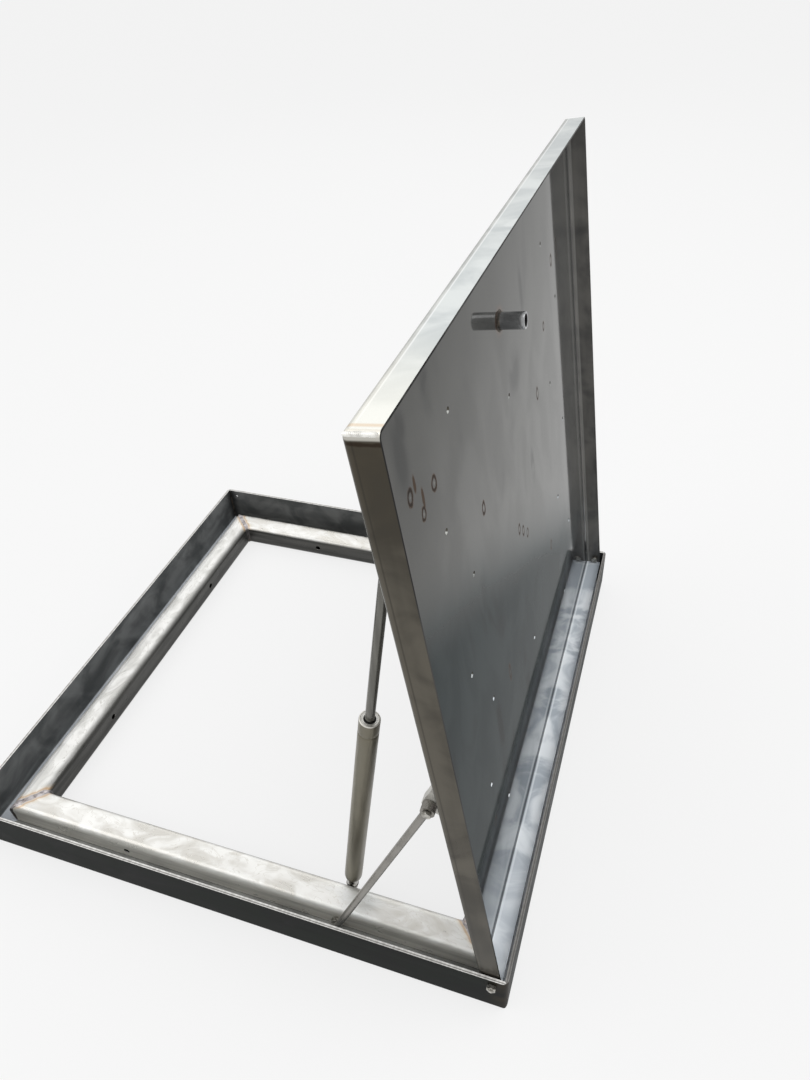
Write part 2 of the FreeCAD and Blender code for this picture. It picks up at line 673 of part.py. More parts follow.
# Cylinder: a drawn tube with a tapered closed foot and a rolled groove below the gland
BODY_R = "(Dims.strut_body / 2)"
BORE_R = "(Dims.strut_body / 2 - Dims.strut_body_wall)"
THREAD_R = "(Dims.ball_neck / 2)"
NECK_R = "(Dims.strut_neck / 2)"
SEAT = "Dims.socket_above"
CAVITY = "(Dims.ball_size / 2 + Dims.socket_web)"
TAPER_TOP = "(Dims.socket_above + Dims.strut_taper)"
FLOOR = "(" + TAPER_TOP + " + Dims.strut_body_wall)"
GROOVE = "(Dims.strut_body_length - Dims.gland_length - Dims.strut_groove_width / 2)"
on_strut(turned("strut_cylinder", [
    ("0", CAVITY),
    (THREAD_R, CAVITY),
    (THREAD_R, SEAT),
    (NECK_R, SEAT),
    (BODY_R, TAPER_TOP),
    (BODY_R, "(" + GROOVE + " - Dims.strut_groove_width / 2)"),
    ("(" + BODY_R + " - Dims.strut_groove_depth)", GROOVE),
    (BODY_R, "(" + GROOVE + " + Dims.strut_groove_width / 2)"),
    (BODY_R, "Dims.strut_body_length"),
    (BORE_R, "Dims.strut_body_length"),
    (BORE_R, FLOOR),
    ("0", FLOOR),
]))

# Gland: the rod guide in the mouth of the cylinder, a little below its rim
ROD_R = "(Dims.strut_rod_size / 2)"
GUIDE_R = "(Dims.strut_rod_size / 2 + Dims.running_gap)"
GLAND_R = "(" + BORE_R + " - Dims.running_gap)"
GLAND_FOOT = "(Dims.strut_body_length - Dims.gland_length)"
GLAND_TOP = "(Dims.strut_body_length - Dims.gland_recess)"
on_strut(turned("strut_gland", [
    (GUIDE_R, GLAND_FOOT),
    (GLAND_R, GLAND_FOOT),
    (GLAND_R, GLAND_TOP),
    (GUIDE_R, GLAND_TOP),
]))

# Rod with its riveted piston: at rest the strut is fully out, the piston just below the gland
PISTON_TOP = "(" + GLAND_FOOT + " - Dims.piston_gap)"
PISTON_FOOT = "(" + PISTON_TOP + " - Dims.piston_length)"
ROD_END = "(" + STRUT_LENGTH + " - Dims.socket_above)"
THREAD_END = "(" + STRUT_LENGTH + " - " + CAVITY + ")"
on_strut(turned("strut_rod", [
    ("0", PISTON_FOOT),
    (GLAND_R, PISTON_FOOT),
    (GLAND_R, PISTON_TOP),
    (ROD_R, PISTON_TOP),
    (ROD_R, ROD_END),
    (THREAD_R, ROD_END),
    (THREAD_R, THREAD_END),
    ("0", THREAD_END),
]))


# Ball sockets: a round cup screwed on each end of the strut, bored from the stud's side
def ball_socket(label, ball_at, screwed_end, tip, thread_end, towards_stud, stud_turn):
    """The cup runs from its screwed end to its tip; stud_turn tips +Z over to the stud's side."""
    low, high = sorted((screwed_end, tip), key=value)
    inner, outer = sorted((screwed_end, thread_end), key=value)
    cup = primitive("Cylinder", label + "_cup", {
        "Radius": "Dims.socket_size / 2", "Height": high + " - " + low})
    place(cup, "0", "0", low)
    bore = primitive("Cylinder", label + "_bore", {
        "Radius": BALL_SEAT, "Height": "Dims.socket_size / 2 + " + BALL_SEAT})
    place(bore, "0", towards_stud + BALL_SEAT, ball_at, "1; 0; 0", stud_turn)
    thread = primitive("Cylinder", label + "_thread", {
        "Radius": THREAD_R + " + Dims.running_gap", "Height": outer + " - " + inner})
    place(thread, "0", "0", inner)
    return on_strut(cut(label, cup, fuse(label + "_hollow", [bore, thread])))


BALL_SEAT = "(Dims.ball_size / 2 + Dims.running_gap)"
ball_socket("lower_ball_socket", "0", SEAT, "-Dims.socket_below", CAVITY, "", "90")
ball_socket("upper_ball_socket", STRUT_LENGTH, ROD_END, "(" + STRUT_LENGTH + " + Dims.socket_below)",
            THREAD_END, "-", "-90")


# Ball studs: ball, neck and collar along +Z, the collar's face on what carries the stud.
# The balls are turned in a few flat bands.
BALL_BANDS = 4


def ball_stud(label, collar_face, tail):
    """Half section from the ball's pole to the collar, and then the corners of the tail."""
    collar_back = "(" + collar_face + " - Dims.ball_collar_thickness)"
    corners = []
    for band in range(BALL_BANDS + 1):
        turn = "(180 deg - asin(Dims.ball_neck / Dims.ball_size)) * " + str(band / BALL_BANDS)
        corners.append(("Dims.ball_size / 2 * sin(" + turn + ")", "-Dims.ball_size / 2 * cos(" + turn + ")"))
    corners += [
        ("(Dims.ball_neck / 2)", collar_back),
        ("(Dims.ball_collar / 2)", collar_back),
        ("(Dims.ball_collar / 2)", collar_face),
    ]
    return keep(turned(label, corners + tail))


# Lower stud: through both walls of the front tube, with its nut in the channel behind the wall
LOWER_TAIL = "(Dims.strut_standoff + Dims.tube_size + Dims.stud_nut + Dims.thread_end)"
lower_stud = ball_stud("lower_ball_stud", "Dims.strut_standoff", [
    ("(Dims.stud_shank / 2)", "Dims.strut_standoff"),
    ("(Dims.stud_shank / 2)", LOWER_TAIL),
    ("0", LOWER_TAIL),
])
place(lower_stud, STRUT_X, STRUT_Y, STRUT_Z, "1; 0; 0", "90")
lower_nut = hex_nut("lower_stud_nut", "Dims.stud_flats", "Dims.stud_nut", "Dims.stud_shank")
place(lower_nut, STRUT_X, "-" + TUBE_OUTSIDE, STRUT_Z, "1; 0; 0", "90")
keep(lower_nut)

# Upper stud: its collar stands just off the lug, where the linkage is left open
UPPER_FACE = "(Dims.strut_standoff - Dims.side_play)"
upper_stud = ball_stud("upper_ball_stud", UPPER_FACE, [("0", UPPER_FACE)])
place(upper_stud, "(" + STRUT_X + " + " + STRUT_RUN + ")", STRUT_Y,
      "(" + STRUT_Z + " + " + STRUT_RISE + ")", "1; 0; 0", "-90")

doc.recompute()
for item in doc.Objects:
    if "Invalid" in item.State or "Error" in item.State:
        raise RuntimeError(item.Label + " failed: " + str(item.State))
for piece in nodes:
    if piece.Shape.isNull() or not piece.Shape.isValid() or not piece.Shape.Solids:
        raise RuntimeError(piece.Label + " has no valid solid")

os.makedirs("parts", exist_ok=True)
for piece in nodes:
    piece.Shape.exportStep(os.path.join("parts", piece.Label + ".step"))
    print(piece.Label, len(piece.Shape.Solids), round(piece.Shape.Volume, 1))
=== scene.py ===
import json
import math

import bpy
import numpy as np
from mathutils import Matrix, Vector


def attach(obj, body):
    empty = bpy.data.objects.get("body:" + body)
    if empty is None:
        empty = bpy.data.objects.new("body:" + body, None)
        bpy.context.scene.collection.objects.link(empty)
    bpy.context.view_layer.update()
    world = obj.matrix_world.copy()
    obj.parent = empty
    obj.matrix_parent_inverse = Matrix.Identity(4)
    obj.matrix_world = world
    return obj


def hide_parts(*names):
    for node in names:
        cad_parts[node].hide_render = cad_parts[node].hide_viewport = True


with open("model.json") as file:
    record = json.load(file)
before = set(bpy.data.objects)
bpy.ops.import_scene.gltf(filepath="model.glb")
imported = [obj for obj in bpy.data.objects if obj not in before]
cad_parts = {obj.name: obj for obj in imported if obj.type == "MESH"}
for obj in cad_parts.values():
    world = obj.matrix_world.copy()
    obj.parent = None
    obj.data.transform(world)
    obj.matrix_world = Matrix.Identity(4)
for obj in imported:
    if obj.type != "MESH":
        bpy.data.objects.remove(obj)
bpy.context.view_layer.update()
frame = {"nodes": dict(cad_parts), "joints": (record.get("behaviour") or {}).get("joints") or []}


# Frame angles: four lengths of stainless angle, folded from 4 mm sheet, mitred and welded at the corners.
# The faces carry hand smudges. Painted light and shade: each inner face is toned by its wall,
# with painted shade in the inner corners; the outer faces are near black as a painted dark
# reflection, the flanges pale as painted sky light, and the sheared top edge is bright,
# partly bare metal and partly a painted highlight.
def put(tree, kind, inputs, **settings):
    """One shader node. Inputs are plain values, colours of three numbers, or other nodes' outputs."""
    made = tree.nodes.new("ShaderNode" + kind)
    for setting, choice in settings.items():
        setattr(made, setting, choice)
    for name, source in inputs.items():
        socket = made.inputs[name]
        if isinstance(source, bpy.types.NodeSocket):
            tree.links.new(source, socket)
        else:
            socket.default_value = (*source, 1.0) if socket.type == "RGBA" else source
    return made


def ramp(tree, source, start, end, low=0.0, high=1.0):
    """Smooth step of a number: low below start, high above end."""
    inputs = {0: source, 1: start, 2: end, 3: low, 4: high}
    return put(tree, "MapRange", inputs, interpolation_type="SMOOTHSTEP").outputs[0]


def sums(tree, operation, first, second=0.0, third=0.0):
    """One sum on up to three numbers."""
    return put(tree, "Math", {0: first, 1: second, 2: third}, operation=operation).outputs[0]


def both(tree, *shares):
    """The product of several shares from 0 to 1."""
    product = shares[0]
    for share in shares[1:]:
        product = sums(tree, "MULTIPLY", product, share)
    return product


def unless(tree, share):
    """1 less a share."""
    return sums(tree, "SUBTRACT", 1.0, share)


def off(tree, source, middle):
    """How far a number lies from a middle value."""
    return sums(tree, "ABSOLUTE", sums(tree, "SUBTRACT", source, middle))


def near(tree, source, middle, reach, soft):
    """1 where a number is within reach of a middle value, fading to 0 over the soft width."""
    return ramp(tree, off(tree, source, middle), reach + soft, reach)


def over(tree, share, below, above):
    """Lays one colour over another by a share from 0 to 1."""
    return put(tree, "Mix", {0: share, 6: below, 7: above}, data_type="RGBA").outputs[2]


def mark(tree, tone, share, strength, colour):
    """Lays a colour over a tone by a share, at most at the given strength."""
    return over(tree, both(tree, share, strength), tone, colour)


def mottle(tree, pattern, spread, dark, light):
    """Two tones of one finish: dark where a pattern is a spread under one half, light as far above it."""
    return over(tree, ramp(tree, pattern, 0.5 - spread, 0.5 + spread), dark, light)


def parts(tree, vector):
    """The three numbers of a vector."""
    return put(tree, "SeparateXYZ", {0: vector}).outputs


def cloud(tree, place, size, detail=4.0, stretch=(1, 1, 1), warp=0.0):
    """Soft noise from 0 to 1 whose patches are about one size across, in metres."""
    scaled = put(tree, "Mapping", {"Vector": place, "Scale": stretch}).outputs[0]
    inputs = {"Vector": scaled, "Scale": 0.5 / size, "Detail": detail, "Distortion": warp}
    return put(tree, "TexNoise", inputs).outputs[0]


def steel(name, metallic, specular=0.5):
    """A new metal material with its tree, its shader and its object coordinates and normal."""
    made = bpy.data.materials.new(name)
    made.use_nodes = True
    tree = made.node_tree
    shader = tree.nodes["Principled BSDF"]
    shader.inputs["Metallic"].default_value = metallic
    shader.inputs["Specular IOR Level"].default_value = specular
    where = tree.nodes.new("ShaderNodeTexCoord")
    return made, tree, shader, where.outputs["Object"], where.outputs["Normal"]


def finish_steel(tree, shader, colour, gloss, relief, depth):
    """Joins colour, roughness and a fine relief, in metres, to the shader."""
    tree.links.new(colour, shader.inputs["Base Color"])
    tree.links.new(gloss, shader.inputs["Roughness"])
    bump = put(tree, "Bump", {"Height": relief, "Distance": depth, "Strength": 1.0}).outputs[0]
    tree.links.new(bump, shader.inputs["Normal"])


def dress(finish, *nodes):
    """Gives CAD nodes a finish."""
    for node in nodes:
        frame["nodes"][node].data.materials.clear()
        frame["nodes"][node].data.materials.append(finish)


def ring_frame(tree, place, facing):
    """For pieces of the square frame: a point's place along its side, outwards and up as one vector, and
    then how far it lies from the middle, from the corner's mitre and from the floor, whether its face
    looks outwards, and whether it belongs to the front or back side."""
    x, y, z = parts(tree, place)
    away_x, away_y = sums(tree, "ABSOLUTE", x), sums(tree, "ABSOLUTE", y)
    on_front = sums(tree, "GREATER_THAN", away_y, away_x)
    along = sums(tree, "ADD", both(tree, x, on_front), both(tree, y, unless(tree, on_front)))
    away = sums(tree, "MAXIMUM", away_x, away_y)
    mitre = sums(tree, "SUBTRACT", away, sums(tree, "MINIMUM", away_x, away_y))
    flat_place = put(tree, "VectorMath", {0: place, 1: (1, 1, 0)}, operation="MULTIPLY").outputs[0]
    looks = put(tree, "VectorMath", {0: flat_place, 1: facing}, operation="DOT_PRODUCT").outputs["Value"]
    lengthwise = put(tree, "CombineXYZ", {0: along, 1: away, 2: z}).outputs[0]
    return lengthwise, away, mitre, z, ramp(tree, looks, -0.15, 0.15), on_front


wall_steel, tree, shader, place, facing = steel("angle_steel_painted_light", metallic=0.1, specular=0.02)
lengthwise, away, mitre, height, outside, on_front = ring_frame(tree, place, facing)
smudge = cloud(tree, lengthwise, 0.036, 5.0, (1, 1, 1.4), 0.9)
streaks = cloud(tree, lengthwise, 0.006, 3.0, (0.04, 1, 1))
level = ramp(tree, sums(tree, "ADD", both(tree, smudge, 0.85), both(tree, streaks, 0.15)), 0.36, 0.66)
right_side = both(tree, ramp(tree, parts(tree, place)[0], 0.3, 0.31), unless(tree, on_front))
front_side = both(tree, ramp(tree, parts(tree, place)[1], -0.3, -0.31), on_front)
# painted light and shade: the inner faces are toned by wall, darker on the back and left walls and pale
# on the front and right walls as painted bounce light into the channel
end_tone = over(tree, level, (0.07, 0.073, 0.073), (0.165, 0.168, 0.166))
side_tone = over(tree, level, (0.085, 0.09, 0.092), (0.19, 0.197, 0.199))
painted_bounce_tone = over(tree, level, (0.4, 0.42, 0.43), (0.52, 0.54, 0.55))
inner_painted_light = over(tree, on_front, side_tone, end_tone)
inner_painted_light = over(tree, sums(tree, "MAXIMUM", right_side, front_side), inner_painted_light, painted_bounce_tone)
# painted shade towards the inner corners
inner_painted_light = mark(tree, inner_painted_light, ramp(tree, mitre, 0.018, 0.002), 0.75, (0.012, 0.012, 0.012))
# painted shade: the outer faces are near black, standing in for a dark reflection
outer_painted_light = over(tree, level, (0.0018, 0.0026, 0.0022), (0.014, 0.0168, 0.0145))
near_corner = both(tree, ramp(tree, mitre, 0.03, 0.0), ramp(tree, smudge, 0.35, 0.6))
outer_painted_light = mark(tree, outer_painted_light, near_corner, 0.6, (0.05, 0.038, 0.026))
colour = over(tree, outside, inner_painted_light, outer_painted_light)
# painted light: the flange strip at the foot of the channel is pale, bluish along the side walls
flange = both(tree, ramp(tree, height, 0.007, 0.0045), ramp(tree, away, 0.3655, 0.364))
side_flange = over(tree, level, (0.5, 0.53, 0.57), (0.66, 0.69, 0.73))
end_flange = over(tree, level, (0.22, 0.22, 0.21), (0.42, 0.42, 0.4))
colour = over(tree, flange, colour, over(tree, on_front, side_flange, end_flange))
# the sheared top edge: bright bare metal with a painted highlight, a painted shadow line along it, and
# painted shade on the right wall's edge
sheared = cloud(tree, lengthwise, 0.0022, 3.0, (1, 0.25, 0.25))
edge = mottle(tree, sheared, 0.15, (0.58, 0.57, 0.55), (0.78, 0.77, 0.75))
edge = mark(tree, edge, near(tree, away, 0.3684, 0.0004, 0.0005), 0.65, (0.05, 0.045, 0.04))
edge = mark(tree, edge, right_side, 0.75, (0.1, 0.095, 0.09))
upward = ramp(tree, parts(tree, facing)[2], 0.6, 0.95)
colour = over(tree, both(tree, upward, ramp(tree, height, 0.06, 0.066)), colour, edge)
grain = cloud(tree, lengthwise, 0.0011, 2.0, (0.05, 1, 1))
finish_steel(tree, shader, colour, ramp(tree, smudge, 0.25, 0.75, 0.34, 0.5), grain, 0.00003)
dress(wall_steel, "frame_angle_front", "frame_angle_right", "frame_angle_back", "frame_angle_left")


def shells(name, rows, finish, body, slot, *stands_for):
    """A mesh of one or more shells. Each shell is a row of closed rings: quads join each ring to the
    next. A fan to its middle closes the first ring and the last, or quads join these two where the shell
    is hollow."""
    points, faces, start = [], [], 0
    for rings, hollow in rows:
        count, around = rings.shape[:2]
        corner = start + np.arange(count * around).reshape(count, around)
        after = np.roll(corner, -1, axis=1)
        ahead = np.roll(corner, -1, axis=0) if hollow else corner[1:]
        beyond = np.roll(after, -1, axis=0) if hollow else after[1:]
        many = len(ahead)
        faces += np.stack([corner[:many], after[:many], beyond, ahead], -1).reshape(-1, 4).tolist()
        points.append(rings.reshape(-1, 3))
        start += count * around
        if not hollow:
            points.append(np.stack([rings[0].mean(0), rings[-1].mean(0)]))
            faces += np.stack([after[0], corner[0], np.full(around, start)], -1).tolist()
            faces += np.stack([corner[-1], after[-1], np.full(around, start + 1)], -1).tolist()
            start += 2
    mesh = bpy.data.meshes.new(name)
    mesh.from_pydata(np.concatenate(points).tolist(), [], faces)
    mesh.shade_smooth()
    mesh.set_sharp_from_angle(angle=math.radians(38))
    mesh.materials.append(finish)
    piece = bpy.data.objects.new(name, mesh)
    bpy.context.scene.collection.objects.link(piece)
    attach(piece, body)
    if stands_for:
        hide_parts(*stands_for)


def bead(path, outward, width, height, fold, closed=False, pitch=0.0017):
    """Rings of a weld bead: a flat oval carried along a path. A crescent ripple rises with each pitch of
    the path, bent back with the square of the distance from the middle. Fold lays the sides down a
    convex corner (1) or up a concave one (-1), and the ends of an open bead are drawn in. Outward,
    height and fold are given once, or once for each point of the path."""
    gaps = np.linalg.norm(np.diff(path, axis=0), axis=1)
    travelled = np.concatenate([[0.0], np.cumsum(gaps)])
    count = int(travelled[-1] / pitch * 4) + 8
    steps = np.linspace(0, travelled[-1], count, endpoint=not closed)
    leans = np.broadcast_to(outward, path.shape)
    folds, crowns = np.broadcast_to(fold, len(path)), np.broadcast_to(height, len(path))
    columns = np.column_stack([path, leans, folds, crowns]).T
    spread = [np.interp(steps, travelled, column) for column in columns]
    middle, normal, bend, crown = np.stack(spread[:3], 1), np.stack(spread[3:6], 1), spread[6], spread[7]
    normal /= np.linalg.norm(normal, axis=1)[:, None]
    forward = np.gradient(middle, axis=0)
    sideways = np.cross(normal, forward)
    sideways /= np.linalg.norm(sideways, axis=1)[:, None]
    angle = np.linspace(0, 2 * np.pi, 12, endpoint=False)
    across, rise = np.cos(angle), np.sin(angle)
    fullness = np.ones(count) if closed else np.sqrt(1 - (2 * steps / travelled[-1] - 1) ** 8 * 0.96)
    wander = 1 + 0.08 * np.sin(steps / pitch * 0.9) + 0.05 * np.sin(steps / pitch * 2.3)
    ripple = 0.8 + 0.35 * np.abs(np.sin(np.pi * (steps[:, None] / pitch + 0.6 * across ** 2)))
    aside = width / 2 * across * (fullness * wander)[:, None]
    raised = rise * ripple * (crown * fullness)[:, None] - bend[:, None] * np.abs(aside)
    return middle[:, None] + aside[..., None] * sideways[:, None] + raised[..., None] * normal[:, None]


dark_weld, tree, shader, place, facing = steel("sooted_weld_metal", metallic=0.4, specular=0.3)
blotch = cloud(tree, place, 0.004, 4.0, warp=0.5)
colour = mottle(tree, blotch, 0.15, (0.02, 0.018, 0.015), (0.09, 0.075, 0.058))
finish_steel(tree, shader, colour, ramp(tree, blotch, 0.3, 0.7, 0.35, 0.55), blotch, 0.0001)

four_corners = ((1, 1), (-1, 1), (-1, -1), (1, -1))
wall_inside, weld_foot, weld_head = 0.366, 0.008, 0.065
corner_rows = []
for sign_x, sign_y in four_corners:
    inward = np.array([-sign_x, -sign_y, 0]) / math.sqrt(2)
    line = np.array([[sign_x * wall_inside, sign_y * wall_inside, end] for end in (weld_foot, weld_head)])
    corner_rows.append((bead(line, inward, width=0.0022, height=0.0007, fold=-0.9), False))
shells("frame_corner_welds", corner_rows, dark_weld, "frame", "frame_steel")


# Curb tubes: a mitred ring of 38 mm square stainless tube, welded to the angles' flanges and at the
# mitres. Painted light and shade: the tops are bright and the inner sides dark, the outer sides pale
# low down as painted bounce light from the flange, and the bore near black as painted shade. The tops
# carry pickling stains; heat has left straw and brown at the welds, which are bright on top and sooted
# lower down.
tube_out, tube_side, tube_round = 0.338, 0.038, 0.008


def past(tree, source, middle, half):
    """How far a number lies past half a width from a middle value, or 0."""
    return sums(tree, "MAXIMUM", sums(tree, "SUBTRACT", off(tree, source, middle), half))


tube_steel, tree, shader, place, facing = steel("tube_steel_painted_light", metallic=0.45, specular=0.4)
lengthwise, away, mitre, height, outside, on_front = ring_frame(tree, place, facing)
stain = cloud(tree, lengthwise, 0.013, 6.0, (0.5, 1, 1), 1.4)
streaks = cloud(tree, lengthwise, 0.004, 3.0, (0.05, 1, 1))
level = ramp(tree, stain, 0.36, 0.64)
contour = off(tree, cloud(tree, lengthwise, 0.009, 3.0, (0.6, 1, 1), 1.6), 0.5)
on_flat = ramp(tree, parts(tree, facing)[2], 0.95, 0.995)
dried = both(tree, on_flat, ramp(tree, contour, 0.02, 0.004), ramp(tree, stain, 0.42, 0.6))
# painted shade: the inner sides are dark
inner_painted_light = mottle(tree, streaks, 0.15, (0.035, 0.035, 0.032), (0.068, 0.067, 0.062))
# painted bounce light: the outer sides are pale, palest low down by the flange
low_band = ramp(tree, sums(tree, "ADD", height, both(tree, streaks, 0.006)), 0.027, 0.012)
outer_low = mottle(tree, streaks, 0.15, (0.78, 0.745, 0.68), (0.97, 0.94, 0.87))
outer_high = mottle(tree, streaks, 0.15, (0.66, 0.64, 0.585), (0.9, 0.875, 0.81))
outer_painted_light = over(tree, low_band, outer_high, outer_low)
end_top = over(tree, level, (0.74, 0.72, 0.67), (0.97, 0.965, 0.935))
end_top = mark(tree, end_top, dried, 0.35, (0.5, 0.46, 0.38))
worn = ramp(tree, cloud(tree, lengthwise, 0.022, 6.0, (0.4, 1, 1)), 0.52, 0.72)
end_top = mark(tree, end_top, worn, 0.35, (0.72, 0.76, 0.78))
side_top = over(tree, level, (0.68, 0.675, 0.645), (0.95, 0.945, 0.92))
side_top = mark(tree, side_top, dried, 0.5, (0.42, 0.405, 0.36))
# a grey line by the outer rounding, and painted shade on the side tubes' tops towards the inner rounding
side_top = mark(tree, side_top, near(tree, away, 0.3285, 0.0008, 0.002), 0.35, (0.42, 0.43, 0.43))
side_top = mark(tree, side_top, ramp(tree, away, 0.312, 0.302), 0.85, (0.1, 0.1, 0.094))
# painted light: faces turned up take the bright top tones, faces turned aside the side tones
upward = ramp(tree, parts(tree, facing)[2], 0.3, 0.97)
top_tone = over(tree, on_front, side_top, end_top)
colour = over(tree, upward, over(tree, outside, inner_painted_light, outer_painted_light), top_tone)
ragged = sums(tree, "ADD", mitre, both(tree, sums(tree, "SUBTRACT", stain, 0.5), 0.016))
straw = both(tree, upward, ramp(tree, ragged, 0.018, 0.007))
brown = both(tree, upward, near(tree, ragged, 0.008, 0.0008, 0.0024))
blue = both(tree, upward, ramp(tree, ragged, 0.007, 0.004))
colour = mark(tree, colour, straw, 0.34, (0.8, 0.63, 0.4))
colour = mark(tree, colour, brown, 0.5, (0.5, 0.27, 0.1))
colour = mark(tree, colour, blue, 0.7, (0.5, 0.47, 0.5))
# painted shade: the bore inside the tube's wall is near black
core_half = tube_side / 2 - tube_round
off_side = past(tree, away, tube_out - tube_side / 2, core_half)
off_level = past(tree, height, tube_side / 2, core_half)
off_core = put(tree, "CombineXYZ", {0: off_side, 1: off_level}).outputs[0]
depth = put(tree, "VectorMath", {0: off_core}, operation="LENGTH").outputs["Value"]
colour = over(tree, ramp(tree, depth, 0.0074, 0.0066), colour, (0.008, 0.008, 0.008))
finish_steel(tree, shader, colour, ramp(tree, stain, 0.3, 0.7, 0.26, 0.42), streaks, 0.00004)
dress(tube_steel, "curb_tube_front", "curb_tube_right", "curb_tube_back", "curb_tube_left")

weld_metal, tree, shader, place, facing = steel("rippled_weld_metal", metallic=0.55)
blotch = cloud(tree, place, 0.004, 4.0, warp=0.5)
colour = mottle(tree, blotch, 0.15, (0.3, 0.27, 0.27), (0.62, 0.59, 0.6))
scorched = ramp(tree, cloud(tree, place, 0.009, 3.0), 0.55, 0.75)
colour = over(tree, scorched, colour, (0.36, 0.25, 0.15))
below_top = ramp(tree, parts(tree, place)[2], 0.0365, 0.032)
colour = mark(tree, colour, below_top, 0.85, (0.03, 0.027, 0.024))
finish_steel(tree, shader, colour, ramp(tree, blotch, 0.3, 0.7, 0.25, 0.45), blotch, 0.0001)

quarter = np.linspace(0, np.pi / 2, 9)
flat = tube_side - tube_round
over_edge, under_edge = tube_round * np.sin(quarter), tube_round * np.cos(quarter)
inset = np.concatenate([[0, 0], tube_round - under_edge, flat + over_edge, [tube_side]])
outer_start, outer_end, inner_end = 0.006, flat - 0.002, 0.003
risen = np.concatenate([[outer_start, outer_end], flat + over_edge, flat + under_edge, [inner_end]])
out_share = np.concatenate([[1, 1], np.cos(quarter), -np.sin(quarter), [-1]])
up_share = np.concatenate([[0, 0], np.sin(quarter), np.cos(quarter), [0]])
side_crown, top_crown = 0.0011, 0.00034
crown = side_crown - (side_crown - top_crown) * up_share
mitre_rows = []
for sign_x, sign_y in four_corners:
    line = np.stack([sign_x * (tube_out - inset), sign_y * (tube_out - inset), risen], 1)
    lean = np.stack([sign_x * out_share / math.sqrt(2), sign_y * out_share / math.sqrt(2), up_share], 1)
    mitre_rows.append((bead(line, lean, width=0.0062, height=crown, fold=out_share * 0.85), False))
shells("curb_mitre_welds", mitre_rows, weld_metal, "frame", "tube_steel")


# Pivots: a bolt through each end wall, its head inside the tray, a spacer washer between tray and wall
# and a nut outside the frame. Bright plated steel, turned and with rolled threads.
bolt_steel, tree, shader, place, facing = steel("turned_bolt_steel", metallic=0.85)
turning = cloud(tree, place, 0.0016, 3.0)
colour = mottle(tree, turning, 0.2, (0.2, 0.19, 0.165), (0.52, 0.505, 0.465))
finish_steel(tree, shader, colour, ramp(tree, turning, 0.3, 0.7, 0.12, 0.2), turning, 0.00002)
joints = {joint["name"]: joint for joint in frame["joints"]}
hinge = Vector(joints["lid_hinge"]["pos_m"])
ring_points = 96


def lathe(profile, base, axis, flats=None):
    """Rings about an axis, from a profile's radii all round the ring and its heights, in millimetres.
    With flats given, no radius passes a hexagon across those flats: half the flats over the cosine of
    the angle from the middle of a flat."""
    radius, height = profile
    angle = np.linspace(0, 2 * np.pi, ring_points, endpoint=False)
    if flats:
        radius = np.minimum(radius, flats / 2 / np.cos(angle % (np.pi / 3) - np.pi / 6))
    axis = np.array(axis, float)
    side = np.array((0.0, 0.0, 1.0) if abs(axis[2]) < 0.9 else (1.0, 0.0, 0.0))
    side -= axis * (side @ axis)
    side /= np.linalg.norm(side)
    ring = np.cos(angle)[:, None] * side + np.sin(angle)[:, None] * np.cross(axis, side)
    return np.array(base) + height[:, None, None] / 1000 * axis + radius[..., None] / 1000 * ring


def swept(radius, height):
    """A turned profile from arrays of radii and heights: each radius is the same all round the ring."""
    return np.repeat(radius[:, None], ring_points, axis=1), height


def turned(*points):
    """A turned profile from (radius, height) points."""
    return swept(*np.array(points, float).T)


def joined(*profiles):
    """Profiles carried on one after the other."""
    return tuple(np.concatenate(columns) for columns in zip(*profiles))


def thread(shank, start, end, pitch=1.0):
    """Profile of a screw thread: the radius falls from the crest to the root, 0.3 of a pitch, and back
    once in each pitch of height less the turned angle's share of a pitch."""
    angle = np.linspace(0, 1, ring_points, endpoint=False)
    height = np.linspace(start, end, int((end - start) / pitch * 8) + 2)
    wave = np.abs((2 * (height[:, None] / pitch - angle)) % 2 - 1)
    return shank / 2 - 0.3 * pitch * wave, height


def hex_sides(flats, low, high):
    """Profile up the outside of a hexagon with both ends turned off to a cone: the radius grows from
    0.46 to 0.62 of the flats while the height grows by 0.6 of that."""
    share = np.linspace(0.46, 0.62, 5)
    cone = (share - share[0]) * flats * 0.6
    radius = flats * np.concatenate([share, share[::-1]])
    return swept(radius, np.concatenate([low + cone, high - cone[::-1]]))


def hex_bolt(flats, head, shank, length, threaded):
    """Profile of a bolt from the top of its head to the tip of its thread."""
    plain = turned((shank / 2, 0), (shank / 2, length - threaded))
    tip = turned((shank / 2 - 0.45, length - 0.2), (shank / 2 - 0.7, length))
    return joined(hex_sides(flats, -head, 0), plain, thread(shank, length - threaded, length - 0.4), tip)


def hex_nut(flats, height, shank):
    """Profile of a nut from its bore's foot round the outside to its bore's top and back down."""
    bore = shank / 2 + 0.05
    inside = turned((bore + 0.3, height), (bore, height - 0.3), (bore, 0.3))
    return joined(turned((bore + 0.3, 0)), hex_sides(flats, 0, height), inside)


pivot_flats, pivot_shank, wall_outside, head_seat = 10, 6, 0.37, 0.3622
pivot_bolt = hex_bolt(pivot_flats, head=4, shank=pivot_shank, length=14.3, threaded=4)
pivot_nut = hex_nut(pivot_flats, height=5, shank=pivot_shank)
bolt_rows, nut_rows = [], []
for side in (-1, 1):
    head_at, nut_at = (hinge.x, side * head_seat, hinge.z), (hinge.x, side * wall_outside, hinge.z)
    bolt_rows.append((lathe(pivot_bolt, head_at, (0, side, 0), pivot_flats), False))
    nut_rows.append((lathe(pivot_nut, nut_at, (0, side, 0), pivot_flats), True))
shells("pivot_bolt_pair", bolt_rows, bolt_steel, "frame", "fastener_steel", "pivot_bolts")
shells("pivot_nut_pair", nut_rows, bolt_steel, "frame", "fastener_steel", "pivot_nuts")
dress(bolt_steel, "pivot_washers")


